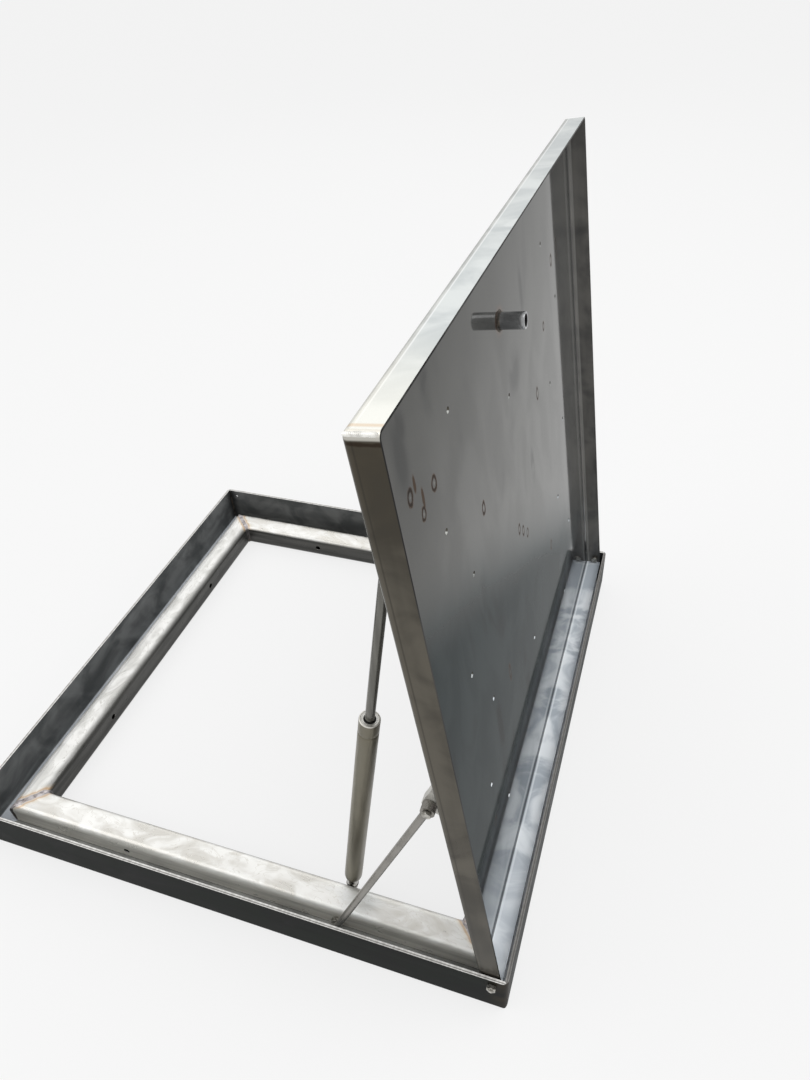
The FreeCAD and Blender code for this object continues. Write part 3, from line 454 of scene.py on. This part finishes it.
# Lid tray: one sheet of 2 mm stainless with its four sides folded up and welded at the corners. The cold
# rolled skin mirrors softly; heat of the brace welds has left brown rings along the plate's diagonals.
# Places on the lid are in metres: reach from the pivot to the free edge, across, and out of the tray.
lid_angle = math.radians(-joints["lid_hinge"]["range_deg"][0])
lid_turn = Matrix.Rotation(lid_angle, 3, "Y")
free_edge, lid_half, lid_round, lid_middle = 0.703, 0.3645, 0.006, 0.347
plate_inside, plate_under = -0.0145, -0.0165
corner_foot, corner_head = -0.0155, 0.0082
key_reach, key_side = 0.6125, -0.015


def on_lid(tree, vector, kind="POINT"):
    """Object coordinates in the lid's own frame: x along the lid from the pivot, z out of the tray."""
    inputs = {"Vector": vector, "Rotation": (0, -lid_angle, 0)}
    if kind == "POINT":
        inputs["Location"] = -(lid_turn.transposed() @ hinge)
    return put(tree, "Mapping", inputs, vector_type=kind).outputs[0]


def closest(tree, lid_place, *spots):
    """How far a point of the plate lies from the closest of several oval spots, as a share of their size.
    Each spot gives its reach from the pivot, its place across, and half its length and width."""
    least = 9.0
    for reach, side, long_half, wide_half in spots:
        scale, shift = (1 / long_half, 1 / wide_half, 0), (reach / long_half, -side / wide_half, 0)
        inputs = {0: lid_place, 1: scale, 2: shift}
        away = put(tree, "VectorMath", inputs, operation="MULTIPLY_ADD").outputs[0]
        length = put(tree, "VectorMath", {0: away}, operation="LENGTH").outputs["Value"]
        least = sums(tree, "MINIMUM", least, length)
    return least


tray_steel, tree, shader, place, facing = steel("sheet_tray_steel", metallic=0.5, specular=0.3)
lid_place = on_lid(tree, place)
along, across, height = parts(tree, lid_place)
face_along, _, face_out = parts(tree, on_lid(tree, facing, "VECTOR"))
smudge = cloud(tree, lid_place, 0.06, 5.0, (1, 1.8, 1), 0.7)
level = ramp(tree, smudge, 0.36, 0.64)
streaks = cloud(tree, lid_place, 0.012, 3.0, (0.12, 1, 1))
mist = cloud(tree, lid_place, 0.035, 4.0, (1, 1.2, 1), 0.9)
wobble = both(tree, sums(tree, "SUBTRACT", cloud(tree, lid_place, 0.005, 3.0), 0.5), 0.9)

# the plate inside the tray: warm above, darker and bluer below as a painted reflection, darker
# towards the free edge as a painted reflection, with burns, smears and a scorched foot
plate_high = over(tree, level, (0.07, 0.07, 0.066), (0.112, 0.112, 0.107))
plate_low = over(tree, level, (0.044, 0.056, 0.058), (0.06, 0.074, 0.076))
# painted reflection: the plate turns darker and bluer below a slanting line
slope = sums(tree, "MULTIPLY_ADD", across, -0.55, along)
lower_dark_reflection = ramp(tree, sums(tree, "MULTIPLY_ADD", smudge, 0.04, slope), -0.375, -0.235)
# painted reflection: the plate darkens towards the free edge
by_free_edge = ramp(tree, along, -0.45, -0.66)
drift = ramp(tree, cloud(tree, lid_place, 0.03, 3.0, (0.45, 1, 1), 0.8), 0.57, 0.76)
plate_tone = over(tree, lower_dark_reflection, plate_high, plate_low)
plate_tone = mark(tree, plate_tone, by_free_edge, 0.7, (0.045, 0.045, 0.041))
plate_tone = mark(tree, plate_tone, drift, 0.45, (0.03, 0.03, 0.03))
weld_rings = closest(tree, lid_place, (0.602, -0.290, 0.0065, 0.0048), (0.574, -0.272, 0.006, 0.0042),
                     (0.582, -0.242, 0.0065, 0.0052), (0.478, -0.135, 0.0065, 0.0045),
                     (0.366, -0.024, 0.0065, 0.0036), (0.352, -0.009, 0.0065, 0.0036),
                     (0.336, 0.008, 0.0055, 0.0036), (0.228, 0.118, 0.008, 0.004),
                     (0.236, -0.123, 0.012, 0.0036), (0.578, 0.229, 0.0065, 0.0042),
                     (0.582, 0.263, 0.012, 0.0022), (0.465, 0.110, 0.008, 0.0042),
                     (0.523, 0.166, 0.005, 0.0035), (0.117, -0.242, 0.006, 0.0042))
weld_tails = closest(tree, lid_place, (0.586, -0.268, 0.012, 0.0026), (0.607, -0.279, 0.008, 0.0026))
from_ring, from_tail = sums(tree, "ADD", weld_rings, wobble), sums(tree, "ADD", weld_tails, wobble)
burnt = sums(tree, "MAXIMUM", near(tree, from_ring, 0.95, 0.12, 0.35), ramp(tree, from_tail, 1.2, 0.7))
plate_tone = mark(tree, plate_tone, burnt, 0.65, (0.1, 0.056, 0.028))
plate_tone = mark(tree, plate_tone, near(tree, from_ring, 0.9, 0.08, 0.2), 0.7, (0.016, 0.01, 0.007))
plate_tone = mark(tree, plate_tone, ramp(tree, from_ring, 0.35, 0.1), 0.6, (0.2, 0.18, 0.16))
hand_smears = closest(tree, lid_place, (0.638, -0.293, 0.04, 0.016), (0.397, 0.06, 0.03, 0.01),
                      (0.607, 0.075, 0.035, 0.01), (0.659, -0.284, 0.02, 0.012),
                      (0.659, -0.227, 0.025, 0.012), (0.54, 0.02, 0.03, 0.03),
                      (0.16, -0.06, 0.05, 0.012), (0.21, -0.18, 0.06, 0.01))
smeared = both(tree, ramp(tree, hand_smears, 1.25, 0.35), ramp(tree, mist, 0.34, 0.56))
plate_tone = mark(tree, plate_tone, smeared, 0.65, (0.024, 0.025, 0.025))
from_key = closest(tree, lid_place, (key_reach, key_side, 0.01, 0.01))
scorch = ramp(tree, sums(tree, "ADD", from_key, both(tree, wobble, 0.4)), 1.9, 0.95)
plate_tone = mark(tree, plate_tone, scorch, 0.55, (0.13, 0.075, 0.05))

# the underside, browned along the braces
under_tone = over(tree, level, (0.235, 0.235, 0.225), (0.295, 0.295, 0.283))
from_middle = sums(tree, "ADD", along, lid_middle)
off_long = sums(tree, "ABSOLUTE", sums(tree, "SUBTRACT", from_middle, across))
off_short = sums(tree, "ABSOLUTE", sums(tree, "ADD", from_middle, across))
off_brace = sums(tree, "ADD", sums(tree, "MINIMUM", off_long, off_short), both(tree, wobble, 0.01))
by_brace = both(tree, ramp(tree, off_brace, 0.022, 0.006), near(tree, along, -lid_middle, 0.2, 0.025))
browned = both(tree, by_brace, ramp(tree, smudge, 0.4, 0.6))
under_tone = mark(tree, under_tone, browned, 0.6, (0.2, 0.12, 0.06))

# the two side skirts, the near one darker than the far one as painted shade, with a painted line
# along the bend, a scalded end and the drawn line under the corner weld
# a painted line along the bend: shade on the near skirt, a highlight on the free edge's skirt
bend_shade_and_highlight = near(tree, height, -0.0098, 0.0003, 0.0007)
blotches = sums(tree, "ADD", both(tree, streaks, 0.4), both(tree, mist, 0.6))
# painted shade: the near skirt is darker than the far skirt
near_tone = mottle(tree, blotches, 0.12, (0.048, 0.043, 0.034), (0.104, 0.094, 0.075))
scald = both(tree, ramp(tree, along, -0.58, -0.69), ramp(tree, mist, 0.25, 0.55))
near_tone = mark(tree, near_tone, scald, 0.65, (0.06, 0.05, 0.034))
near_tone = mark(tree, near_tone, bend_shade_and_highlight, 0.5, (0.03, 0.027, 0.022))
near_tone = mark(tree, near_tone, ramp(tree, along, -0.22, -0.04), 0.4, (0.025, 0.024, 0.02))
droop = sums(tree, "MULTIPLY_ADD", wobble, 0.004, along)
near_tone = mark(tree, near_tone, near(tree, droop, -0.6952, 0.0006, 0.0014), 0.8, (0.02, 0.011, 0.005))
near_tone = over(tree, ramp(tree, along, -0.6968, -0.6985), near_tone, (0.5, 0.485, 0.44))
far_tone = mottle(tree, blotches, 0.12, (0.075, 0.075, 0.074), (0.18, 0.174, 0.163))
# painted highlight along the far skirt's bend
far_tone = mark(tree, far_tone, near(tree, height, -0.0105, 0.0006, 0.0014), 0.5, (0.4, 0.395, 0.375))
side_tone = over(tree, ramp(tree, across, -0.05, 0.05), near_tone, far_tone)

# the free edge's skirt, pale as painted sky light, darker where it bends and warm towards its near
# corner, and the hinge skirt, pale blue-white as a painted sky reflection
# painted sky light: the free edge's skirt is pale
edge_tone = mottle(tree, mist, 0.15, (0.46, 0.49, 0.495), (0.62, 0.645, 0.64))
edge_low = mottle(tree, mist, 0.15, (0.36, 0.37, 0.36), (0.55, 0.56, 0.54))
edge_tone = over(tree, ramp(tree, height, -0.0085, -0.0105), edge_tone, edge_low)
edge_tone = mark(tree, edge_tone, bend_shade_and_highlight, 0.7, (0.8, 0.82, 0.82))
warm = ramp(tree, sums(tree, "ADD", across, both(tree, wobble, 0.006)), -0.2, -0.35)
edge_tone = mark(tree, edge_tone, warm, 0.55, (0.86, 0.84, 0.76))
edge_tone = mark(tree, edge_tone, near(tree, across, -0.3555, 0.0006, 0.0022), 0.45, (0.6, 0.38, 0.18))
edge_tone = over(tree, ramp(tree, across, -0.3585, -0.3605), edge_tone, (0.85, 0.82, 0.74))
# painted sky reflection: the hinge skirt is pale blue-white, with a painted highlight along its bend,
# palest towards the near side
foot_sky_reflection = mottle(tree, mist, 0.1, (0.5, 0.55, 0.6), (0.92, 0.96, 0.99))
foot_sky_reflection = mark(tree, foot_sky_reflection, near(tree, height, -0.0112, 0.0004, 0.001), 0.6, (0.93, 0.96, 0.99))
foot_sky_reflection = mark(tree, foot_sky_reflection, ramp(tree, across, -0.12, -0.33), 0.5, (0.88, 0.93, 0.98))
by_hinge = ramp(tree, along, -0.4, -0.3)
skirt_tone = over(tree, by_hinge, edge_tone, foot_sky_reflection)

# all faces together, with the sheared rim and, on the strip of the plate by the fold, a painted
# reflection of the hinge skirt
on_skirt = ramp(tree, face_along, -0.35, -0.85)
on_plate = ramp(tree, face_out, 0.35, 0.92)
rim = both(tree, ramp(tree, face_out, 0.6, 0.95), ramp(tree, height, 0.0075, 0.0085))
# painted reflection of the hinge skirt on the strip of the plate by the fold
fold_reflection_strip = both(tree, on_plate, ramp(tree, along, -0.14, -0.085))
back_tone = over(tree, level, (0.12, 0.12, 0.115), (0.2, 0.2, 0.19))
rim_tone = mottle(tree, streaks, 0.1, (0.014, 0.014, 0.013), (0.06, 0.058, 0.054))
fold_reflection_tone = mottle(tree, mist, 0.12, (0.2, 0.212, 0.222), (0.28, 0.292, 0.302))
colour = over(tree, on_skirt, side_tone, skirt_tone)
colour = over(tree, ramp(tree, face_along, 0.4, 0.9), colour, back_tone)
colour = over(tree, on_plate, colour, plate_tone)
colour = over(tree, ramp(tree, face_out, -0.5, -0.95), colour, under_tone)
colour = over(tree, rim, colour, rim_tone)
colour = over(tree, both(tree, fold_reflection_strip, unless(tree, rim)), colour, fold_reflection_tone)
# painted reflection: the plate is lighter along the far skirt, where it mirrors it
colour = mark(tree, colour, both(tree, on_plate, ramp(tree, across, 0.21, 0.25)), 0.3, (0.2, 0.2, 0.2))
# tint of the reflections: bluish on the painted lower reflection, brown on the burns, white on the
# painted fold reflection and dark on the rim
tint = over(tree, both(tree, on_plate, lower_dark_reflection), (0.6, 0.6, 0.59), (0.1, 0.115, 0.12))
tint = over(tree, both(tree, on_plate, burnt), tint, (0.16, 0.1, 0.06))
tint = over(tree, fold_reflection_strip, tint, (1, 1, 1))
tint = over(tree, rim, tint, (0.1, 0.1, 0.1))
tree.links.new(tint, shader.inputs["Specular Tint"])
dulled = sums(tree, "MAXIMUM", lower_dark_reflection, sums(tree, "MAXIMUM", burnt, both(tree, smeared, 0.5)))
dulled = sums(tree, "MAXIMUM", dulled, both(tree, by_free_edge, 0.3))
dulled = sums(tree, "MAXIMUM", both(tree, on_plate, dulled, unless(tree, fold_reflection_strip)), rim)
tree.links.new(ramp(tree, dulled, 0.0, 1.0, 0.3, 0.03), shader.inputs["Specular IOR Level"])
metal = ramp(tree, both(tree, on_skirt, by_hinge), 0.0, 1.0, 0.5, 0.06)
metal = sums(tree, "SUBTRACT", metal, both(tree, on_plate, 0.12))
metal = sums(tree, "ADD", metal, both(tree, fold_reflection_strip, 0.5))
tree.links.new(metal, shader.inputs["Metallic"])
rough = ramp(tree, smudge, 0.25, 0.75, 0.16, 0.26)
rough = sums(tree, "SUBTRACT", rough, both(tree, on_plate, ramp(tree, smudge, 0.25, 0.75, 0.115, 0.19)))
finish_steel(tree, shader, colour, rough, smudge, 0.00001)
dress(tray_steel, "lid_tray")


def lid_spot(reach, side, out):
    """A point on the open lid from its reach, its place across and its height out of the tray."""
    return np.array(hinge + lid_turn @ Vector((-reach, side, out)))


def lid_way(reach, side, out):
    """A direction on the open lid, as a unit vector."""
    return np.array((lid_turn @ Vector((-reach, side, out))).normalized())


bright_steel, tree, shader, place, facing = steel("brushed_bright_steel", metallic=0.6)
blotch = cloud(tree, place, 0.003, 4.0, warp=0.5)
colour = mottle(tree, blotch, 0.15, (0.6, 0.59, 0.55), (0.86, 0.85, 0.81))
finish_steel(tree, shader, colour, ramp(tree, blotch, 0.3, 0.7, 0.2, 0.35), blotch, 0.00005)
apex = lid_round * (1 - 1 / math.sqrt(2))
edge_rows = []
for side in (-1, 1):
    corner = free_edge - apex, side * (lid_half - apex)
    line = np.stack([lid_spot(*corner, out) for out in (corner_foot, corner_head)])
    edge_bead = bead(line, lid_way(1, side, 0), width=0.0036, height=0.0003, fold=0.15, pitch=0.0013)
    edge_rows.append((edge_bead, False))
shells("lid_corner_welds", edge_rows, bright_steel, "lid", "lid_steel")


# Key socket: a short length of pipe that stands on the plate near the free edge, welded round its foot.
# Drawn tube, blue-grey, with the cut end turned clean.
pipe_steel, tree, shader, place, facing = steel("drawn_pipe_steel", metallic=0.8, specular=0.4)
smudge = cloud(tree, place, 0.01, 4.0, warp=0.5)
colour = mottle(tree, smudge, 0.15, (0.2, 0.205, 0.21), (0.36, 0.365, 0.37))
# painted shade: the pipe's bore is near black
from_bore = closest(tree, on_lid(tree, place), (key_reach, key_side, 0.006, 0.006))
colour = over(tree, ramp(tree, from_bore, 1.06, 1.01), colour, (0.006, 0.006, 0.006))
finish_steel(tree, shader, colour, ramp(tree, smudge, 0.3, 0.7, 0.14, 0.24), smudge, 0.00003)
key_foot = lid_spot(key_reach, key_side, plate_inside)
out_of_tray = lid_way(0, 0, 1)
pipe = turned((6.0, 0.2), (8.5, 0.2), (8.5, 6), (8.5, 13), (8.5, 20), (8.5, 25.4), (8.3, 25.8),
              (7.9, 26.0), (6.6, 26.0), (6.2, 25.8), (6.0, 25.4), (6.0, 13))
pipe_rows = [(lathe(pipe, key_foot, out_of_tray), True)]
shells("key_pipe", pipe_rows, pipe_steel, "lid", "bracket_steel", "key_socket")
foot_ring = 0.0086
turn = np.linspace(0, 2 * np.pi, 97)
rim_way = np.cos(turn)[:, None] * lid_way(1, 0, 0) + np.sin(turn)[:, None] * lid_way(0, 1, 0)
line, lean = key_foot + foot_ring * rim_way, rim_way + out_of_tray
ring_bead = bead(line, lean, width=0.0034, height=0.001, fold=-0.8, closed=True)
shells("key_pipe_weld", [(ring_bead, True)], dark_weld, "lid", "bracket_steel")


# Braces: flat bars on edge under the plate, one whole diagonal and two halves that butt against it, held
# by short welds on both sides. Hot rolled, with a smudged grey skin.
bar_steel, tree, shader, place, facing = steel("hot_rolled_bar", metallic=0.55, specular=0.4)
smudge = cloud(tree, place, 0.02, 5.0, warp=0.6)
colour = mottle(tree, smudge, 0.15, (0.2, 0.195, 0.18), (0.36, 0.355, 0.335))
finish_steel(tree, shader, colour, ramp(tree, smudge, 0.25, 0.75, 0.3, 0.45), smudge, 0.00006)
dress(bar_steel, "brace_long", "brace_short_front", "brace_short_back")
bar_half, stitch_half = 0.0025, 0.018
under_plate = lid_way(0, 0, -1)
stitch_rows = []
for slant in (1, -1):
    run_way = lid_way(-1, slant, 0)
    for side in (1, -1):
        off_way = lid_way(slant * side, side, 0)
        start = lid_spot(lid_middle, 0, plate_under) + bar_half * off_way
        lean = off_way + under_plate
        for middle in (-0.27, -0.167, -0.04, 0.04, 0.167, 0.27):
            line = start + np.outer((middle - stitch_half, middle + stitch_half), run_way)
            stitch = bead(line, lean, width=0.006, height=0.0016, fold=-0.8, pitch=0.0022)
            stitch_rows.append((stitch, False))
shells("brace_stitch_welds", stitch_rows, weld_metal, "lid", "bracket_steel")


# Strut bracket: a lug of 4 mm plate beside the strut's upper end, with a flange welded flat to the plate,
# and the threaded shank and nut of the strut's upper stud.
dress(bar_steel, "strut_bracket")
lug_reach, lug_back, strut_drop = 0.595, -0.274, -0.0305
weld_level = -0.0166
flange_rows = []
for ends, off_way in ((((0.577, -0.248), (0.613, -0.248)), lid_way(0, 1, 0)),
                      (((0.575, -0.276), (0.575, -0.25)), lid_way(-1, 0, 0)),
                      (((0.615, -0.276), (0.615, -0.25)), lid_way(1, 0, 0))):
    line = np.stack([lid_spot(reach, side, weld_level) for reach, side in ends])
    lean = off_way + under_plate
    flange_bead = bead(line, lean, width=0.0056, height=0.0014, fold=-0.8, pitch=0.0022)
    flange_rows.append((flange_bead, False))
shells("strut_bracket_welds", flange_rows, weld_metal, "lid", "bracket_steel")
stud_flats, stud_nut, stud_shank, stud_pitch = 13, 6.5, 8, 1.25
stud_at = lid_spot(lug_reach, lug_back, strut_drop)
stud_hex = hex_nut(stud_flats, stud_nut, stud_shank)
hex_rows = [(lathe(stud_hex, stud_at, (0, 1, 0), stud_flats), True)]
shells("upper_stud_hex", hex_rows, bolt_steel, "lid", "fastener_steel", "upper_stud_nut")
shank = joined(turned((4.0, -4.0), (4.0, 5.5)), thread(stud_shank, 5.5, 7.6, stud_pitch),
               turned((3.4, 7.8), (3.1, 8.0)))
shank_rows = [(lathe(shank, stud_at, (0, 1, 0)), False)]
shells("upper_stud_thread", shank_rows, bolt_steel, "lid", "fastener_steel", "upper_stud_shank")


# Stay bracket: a small lug of 2 mm plate with a flange bent back along its sloping edge, welded under the
# plate, and the bolt and nut that hold the stay's eye.
light_plate, tree, shader, place, facing = steel("bent_light_plate", metallic=0.45, specular=0.4)
smudge = cloud(tree, place, 0.008, 4.0, warp=0.5)
colour = mottle(tree, smudge, 0.15, (0.42, 0.41, 0.38), (0.6, 0.59, 0.55))
finish_steel(tree, shader, colour, ramp(tree, smudge, 0.3, 0.7, 0.25, 0.4), smudge, 0.00003)
dress(light_plate, "stay_bracket")
root_side, root_start, root_end = -0.3502, 0.289, 0.337
line = np.stack([lid_spot(reach, root_side, weld_level) for reach in (root_start, root_end)])
root_bead = bead(line, lid_way(0, -1, 0) + under_plate, width=0.004, height=0.001, fold=-0.8)
shells("stay_bracket_weld", [(root_bead, False)], weld_metal, "lid", "bracket_steel")
stay_flats, stay_shank, eye_front, lug_behind = 8, 5, 0.0048, 0.0068
eye_at = Vector(joints["stay_swing"]["pos_m"])
bolt_at, nut_at = (eye_at.x, eye_at.y - eye_front, eye_at.z), (eye_at.x, eye_at.y + lug_behind, eye_at.z)
stay_bolt_profile = hex_bolt(stay_flats, head=3.5, shank=stay_shank, length=17.1, threaded=6)
stay_bolt = lathe(stay_bolt_profile, bolt_at, (0, 1, 0), stay_flats)
shells("stay_bolt_turned", [(stay_bolt, False)], bolt_steel, "lid", "fastener_steel", "stay_bolt")
stay_nut = lathe(hex_nut(stay_flats, height=4, shank=stay_shank), nut_at, (0, 1, 0), stay_flats)
shells("stay_nut_turned", [(stay_nut, True)], bolt_steel, "lid", "fastener_steel", "stay_nut")


# Gas strut: a drawn steel barrel with a tapered foot, a rolled groove and a rolled-in rim, closed by a
# turned guide with a rubber lip round the rod. Ball sockets with wire clips are screwed on both ends.
foot_at = np.array(joints["strut_swing"]["pos_m"])
strut_way = np.array(joints["strut_slide"]["axis"])
barrel_steel, tree, shader, place, facing = steel("drawn_barrel_steel", metallic=0.75, specular=0.5)
streaks = cloud(tree, place, 0.006, 3.0, (1, 1, 0.06))
smudge = cloud(tree, place, 0.02, 4.0)
level = ramp(tree, sums(tree, "ADD", both(tree, streaks, 0.5), both(tree, smudge, 0.5)), 0.4, 0.62)
colour = over(tree, level, (0.165, 0.151, 0.113), (0.2, 0.184, 0.14))
run = put(tree, "VectorMath", {0: place, 1: strut_way}, operation="DOT_PRODUCT").outputs["Value"]
rim_level = 0.3562
rim_at = float(foot_at @ strut_way) + rim_level
colour = over(tree, ramp(tree, run, rim_at, rim_at + 0.0008), colour, (0.72, 0.7, 0.65))
finish_steel(tree, shader, colour, ramp(tree, smudge, 0.3, 0.7, 0.3, 0.38), streaks, 0.00001)
bend = np.linspace(0, np.pi / 2, 12)
dip = np.linspace(-1, 1, 13)
barrel_r, bore_r, neck_r = 10.9, 9.5, 6.6
barrel = joined(turned((0.5, 8), (3, 8), (3, 16), (6.3, 16.0), (neck_r, 16.4)),
                swept(neck_r + (barrel_r - neck_r) * np.sin(bend), 28.5 - 12 * np.cos(bend)),
                swept(np.full(9, barrel_r), np.linspace(60, 320, 9)),
                swept(barrel_r - 0.4 * (1 + np.cos(np.pi * dip)), 337 + 1.6 * dip),
                turned((barrel_r, 345), (barrel_r, 355.6)),
                swept(barrel_r - 1.3 * (1 - np.cos(bend)), 355.9 + 1.6 * np.sin(bend)),
                turned((bore_r, 357.3), (bore_r, 356.4), (bore_r, 29.5), (0.5, 29.5)))
barrel_rows = [(lathe(barrel, foot_at, strut_way), False)]
shells("strut_barrel", barrel_rows, barrel_steel, "strut_body", "strut_paint", "strut_cylinder")

guide = turned((5.05, 338.5), (9.45, 338.5), (9.45, 356.7), (9.2, 357.0), (8.3, 357.0), (8.15, 356.5),
               (7.75, 356.5), (7.6, 357.0), (6.5, 357.0), (6.2, 356.5), (5.2, 356.5), (5.05, 356.3))
guide_rows = [(lathe(guide, foot_at, strut_way), True)]
shells("strut_rod_guide", guide_rows, bright_steel, "strut_body", "strut_black", "strut_gland")
lip_rubber, tree, shader, place, facing = steel("wiper_rubber", metallic=0.0, specular=0.4)
smudge = cloud(tree, place, 0.002, 3.0)
colour = over(tree, smudge, (0.008, 0.008, 0.008), (0.02, 0.02, 0.019))
finish_steel(tree, shader, colour, ramp(tree, smudge, 0.3, 0.7, 0.4, 0.6), smudge, 0.00003)
loop = np.linspace(0, 2 * np.pi, 16, endpoint=False)
lip = swept(5.65 + 0.55 * np.cos(loop), 356.8 + 0.55 * np.sin(loop))
lip_rows = [(lathe(lip, foot_at, strut_way), True)]
shells("strut_wiper_lip", lip_rows, lip_rubber, "strut_body", "strut_black")

rod_steel, tree, shader, place, facing = steel("ground_rod_steel", metallic=0.85, specular=0.5)
streaks = cloud(tree, place, 0.003, 3.0, (1, 1, 0.05))
colour = mottle(tree, streaks, 0.15, (0.12, 0.117, 0.105), (0.17, 0.166, 0.15))
finish_steel(tree, shader, colour, ramp(tree, streaks, 0.3, 0.7, 0.16, 0.24), streaks, 0.00001)
dress(rod_steel, "strut_rod")
dress(bolt_steel, "lower_ball_socket", "upper_ball_socket")


def ball_stud(face, tail):
    """Profile of a ball stud from its pole: the ball's circle, the neck, the collar and the tail."""
    ball_r, stem_r = 5, 3
    angle = np.linspace(0.05, math.pi - math.asin(stem_r / ball_r), 20)
    ball = swept(ball_r * np.sin(angle), -ball_r * np.cos(angle))
    foot = face - 3
    collar = turned((stem_r, foot), (6.1, foot), (6.5, foot + 0.4), (6.5, face - 0.3), (6.2, face))
    return joined(ball, collar, tail)


lower_tail = joined(turned((4, 11), (4, 49)), thread(stud_shank, 49, 56.5, stud_pitch),
                    turned((3.4, 56.8), (3.1, 57)))
lower_rows = [(lathe(ball_stud(11, lower_tail), foot_at, (0, -1, 0)), False)]
shells("lower_ball_pin", lower_rows, bolt_steel, "frame", "fastener_steel", "lower_ball_stud")
lower_hex = lathe(stud_hex, (foot_at[0], -tube_out, foot_at[2]), (0, -1, 0), stud_flats)
shells("lower_stud_hex", [(lower_hex, True)], bolt_steel, "frame", "fastener_steel", "lower_stud_nut")
top_at = lid_spot(lug_reach, foot_at[1], strut_drop)
upper_rows = [(lathe(ball_stud(10.7, turned((0.5, 10.7))), top_at, (0, 1, 0)), False)]
shells("upper_ball_pin", upper_rows, bolt_steel, "strut_ram", "fastener_steel", "upper_ball_stud")


def clip(ball_at, stud_side):
    """Rings of a round wire carried almost three quarters round a socket, open towards the stud: a circle
    lifted along the strut with the cosine of the turn."""
    loop_half, wire_half, lift = 0.0072, 0.0006, 0.0015
    turn = np.linspace(-2.25, 2.25, 60)
    level_way = np.cross((0, 1, 0), strut_way)
    out_way = -stud_side * np.cos(turn)[:, None] * np.array((0, 1, 0)) + np.sin(turn)[:, None] * level_way
    middle = ball_at + loop_half * out_way + lift * np.cos(turn)[:, None] * strut_way
    forward = np.gradient(middle, axis=0)
    forward /= np.linalg.norm(forward, axis=1)[:, None]
    sideways = np.cross(out_way, forward)
    angle = np.linspace(0, 2 * np.pi, 12, endpoint=False)
    spread = np.cos(angle)[:, None] * sideways[:, None] + np.sin(angle)[:, None] * out_way[:, None]
    return middle[:, None] + wire_half * spread


shells("lower_socket_clip", [(clip(foot_at, -1), False)], bolt_steel, "strut_body", "fastener_steel")
shells("upper_socket_clip", [(clip(top_at, 1), False)], bolt_steel, "strut_ram", "fastener_steel")


# Stay: a drawn round bar with an eye at its head, which hangs on the stay bolt. Its tapered foot stands
# free in the channel between the front wall and the front tube.
stay_steel, tree, shader, place, facing = steel("drawn_stay_bar", metallic=0.8, specular=0.5)
smudge = cloud(tree, place, 0.012, 4.0)
colour = mottle(tree, smudge, 0.15, (0.2, 0.19, 0.17), (0.27, 0.258, 0.235))
finish_steel(tree, shader, colour, ramp(tree, smudge, 0.3, 0.7, 0.22, 0.34), smudge, 0.00002)
dress(stay_steel, "stay_rod")


# Studio: a plain pale floor that glows to the eye and in reflections and keeps a soft shadow, an even
# pale surround and three soft lamps.
floor_half = 14.0
floor_mesh = bpy.data.meshes.new("studio_floor")
floor_corners = [(sign_x * floor_half, sign_y * floor_half, 0) for sign_x, sign_y in four_corners]
floor_mesh.from_pydata(floor_corners, [], [(0, 1, 2, 3)])
floor = bpy.data.objects.new("studio_floor", floor_mesh)
bpy.context.scene.collection.objects.link(floor)
floor_white = bpy.data.materials.new("floor_white")
floor_white.use_nodes = True
tree = floor_white.node_tree
floor_shader = tree.nodes["Principled BSDF"]
floor_shader.inputs["Base Color"].default_value = (0.84, 0.84, 0.84, 1.0)
floor_shader.inputs["Roughness"].default_value = 0.9
floor_shader.inputs["Specular IOR Level"].default_value = 0.0
ray = tree.nodes.new("ShaderNodeLightPath").outputs
mirrored = sums(tree, "ADD", ray["Is Glossy Ray"], ray["Is Transmission Ray"])
seen = sums(tree, "MINIMUM", sums(tree, "ADD", ray["Is Camera Ray"], mirrored), 1.0)
glow = put(tree, "Emission", {"Color": (0.93, 0.93, 0.93), "Strength": 1.0}).outputs[0]
mix = {0: both(tree, seen, 0.82), 1: floor_shader.outputs[0], 2: glow}
tree.links.new(put(tree, "MixShader", mix).outputs[0], tree.nodes["Material Output"].inputs["Surface"])
floor_mesh.materials.append(floor_white)

world = bpy.data.worlds.new("studio")
bpy.context.scene.world = world
world.use_nodes = True
world.node_tree.nodes["Background"].inputs["Color"].default_value = (1.0, 1.0, 1.0, 1.0)
world.node_tree.nodes["Background"].inputs["Strength"].default_value = 0.85


def softbox(name, location, target, size, power):
    """A square lamp that faces a point."""
    lamp = bpy.data.lights.new(name, "AREA")
    lamp.size = size
    lamp.energy = power
    box = bpy.data.objects.new(name, lamp)
    box.location = location
    box.rotation_euler = (Vector(target) - Vector(location)).to_track_quat("-Z", "Y").to_euler()
    bpy.context.scene.collection.objects.link(box)


softbox("left_softbox", (-1.9, -0.9, 2.5), (0, 0, 0.2), size=2.2, power=14)
softbox("back_softbox", (-0.7, 2.6, 2.3), (0, 0, 0.2), size=2.4, power=9)
softbox("right_softbox", (1.4, 0.0, 3.0), (0.35, 0, 0.1), size=1.8, power=32)

# the camera, as solved from the corners of the frame and the lid in the photograph
lens = bpy.data.cameras.new("camera")
lens.lens = 26.948365
camera = bpy.data.objects.new("camera", lens)
stand = (0.430296, -0.727246, 1.003855)
forward = Vector((-0.280823, 0.712768, -0.642728)).normalized()
upright = Vector((-0.165872, 0.623556, 0.76398))
right = forward.cross(upright).normalized()
turn = Matrix((right, right.cross(forward), -forward)).transposed()
camera.matrix_world = Matrix.Translation(stand) @ turn.to_4x4()
bpy.context.scene.collection.objects.link(camera)
bpy.context.scene.camera = camera
bpy.context.scene.view_settings.view_transform = "Standard"
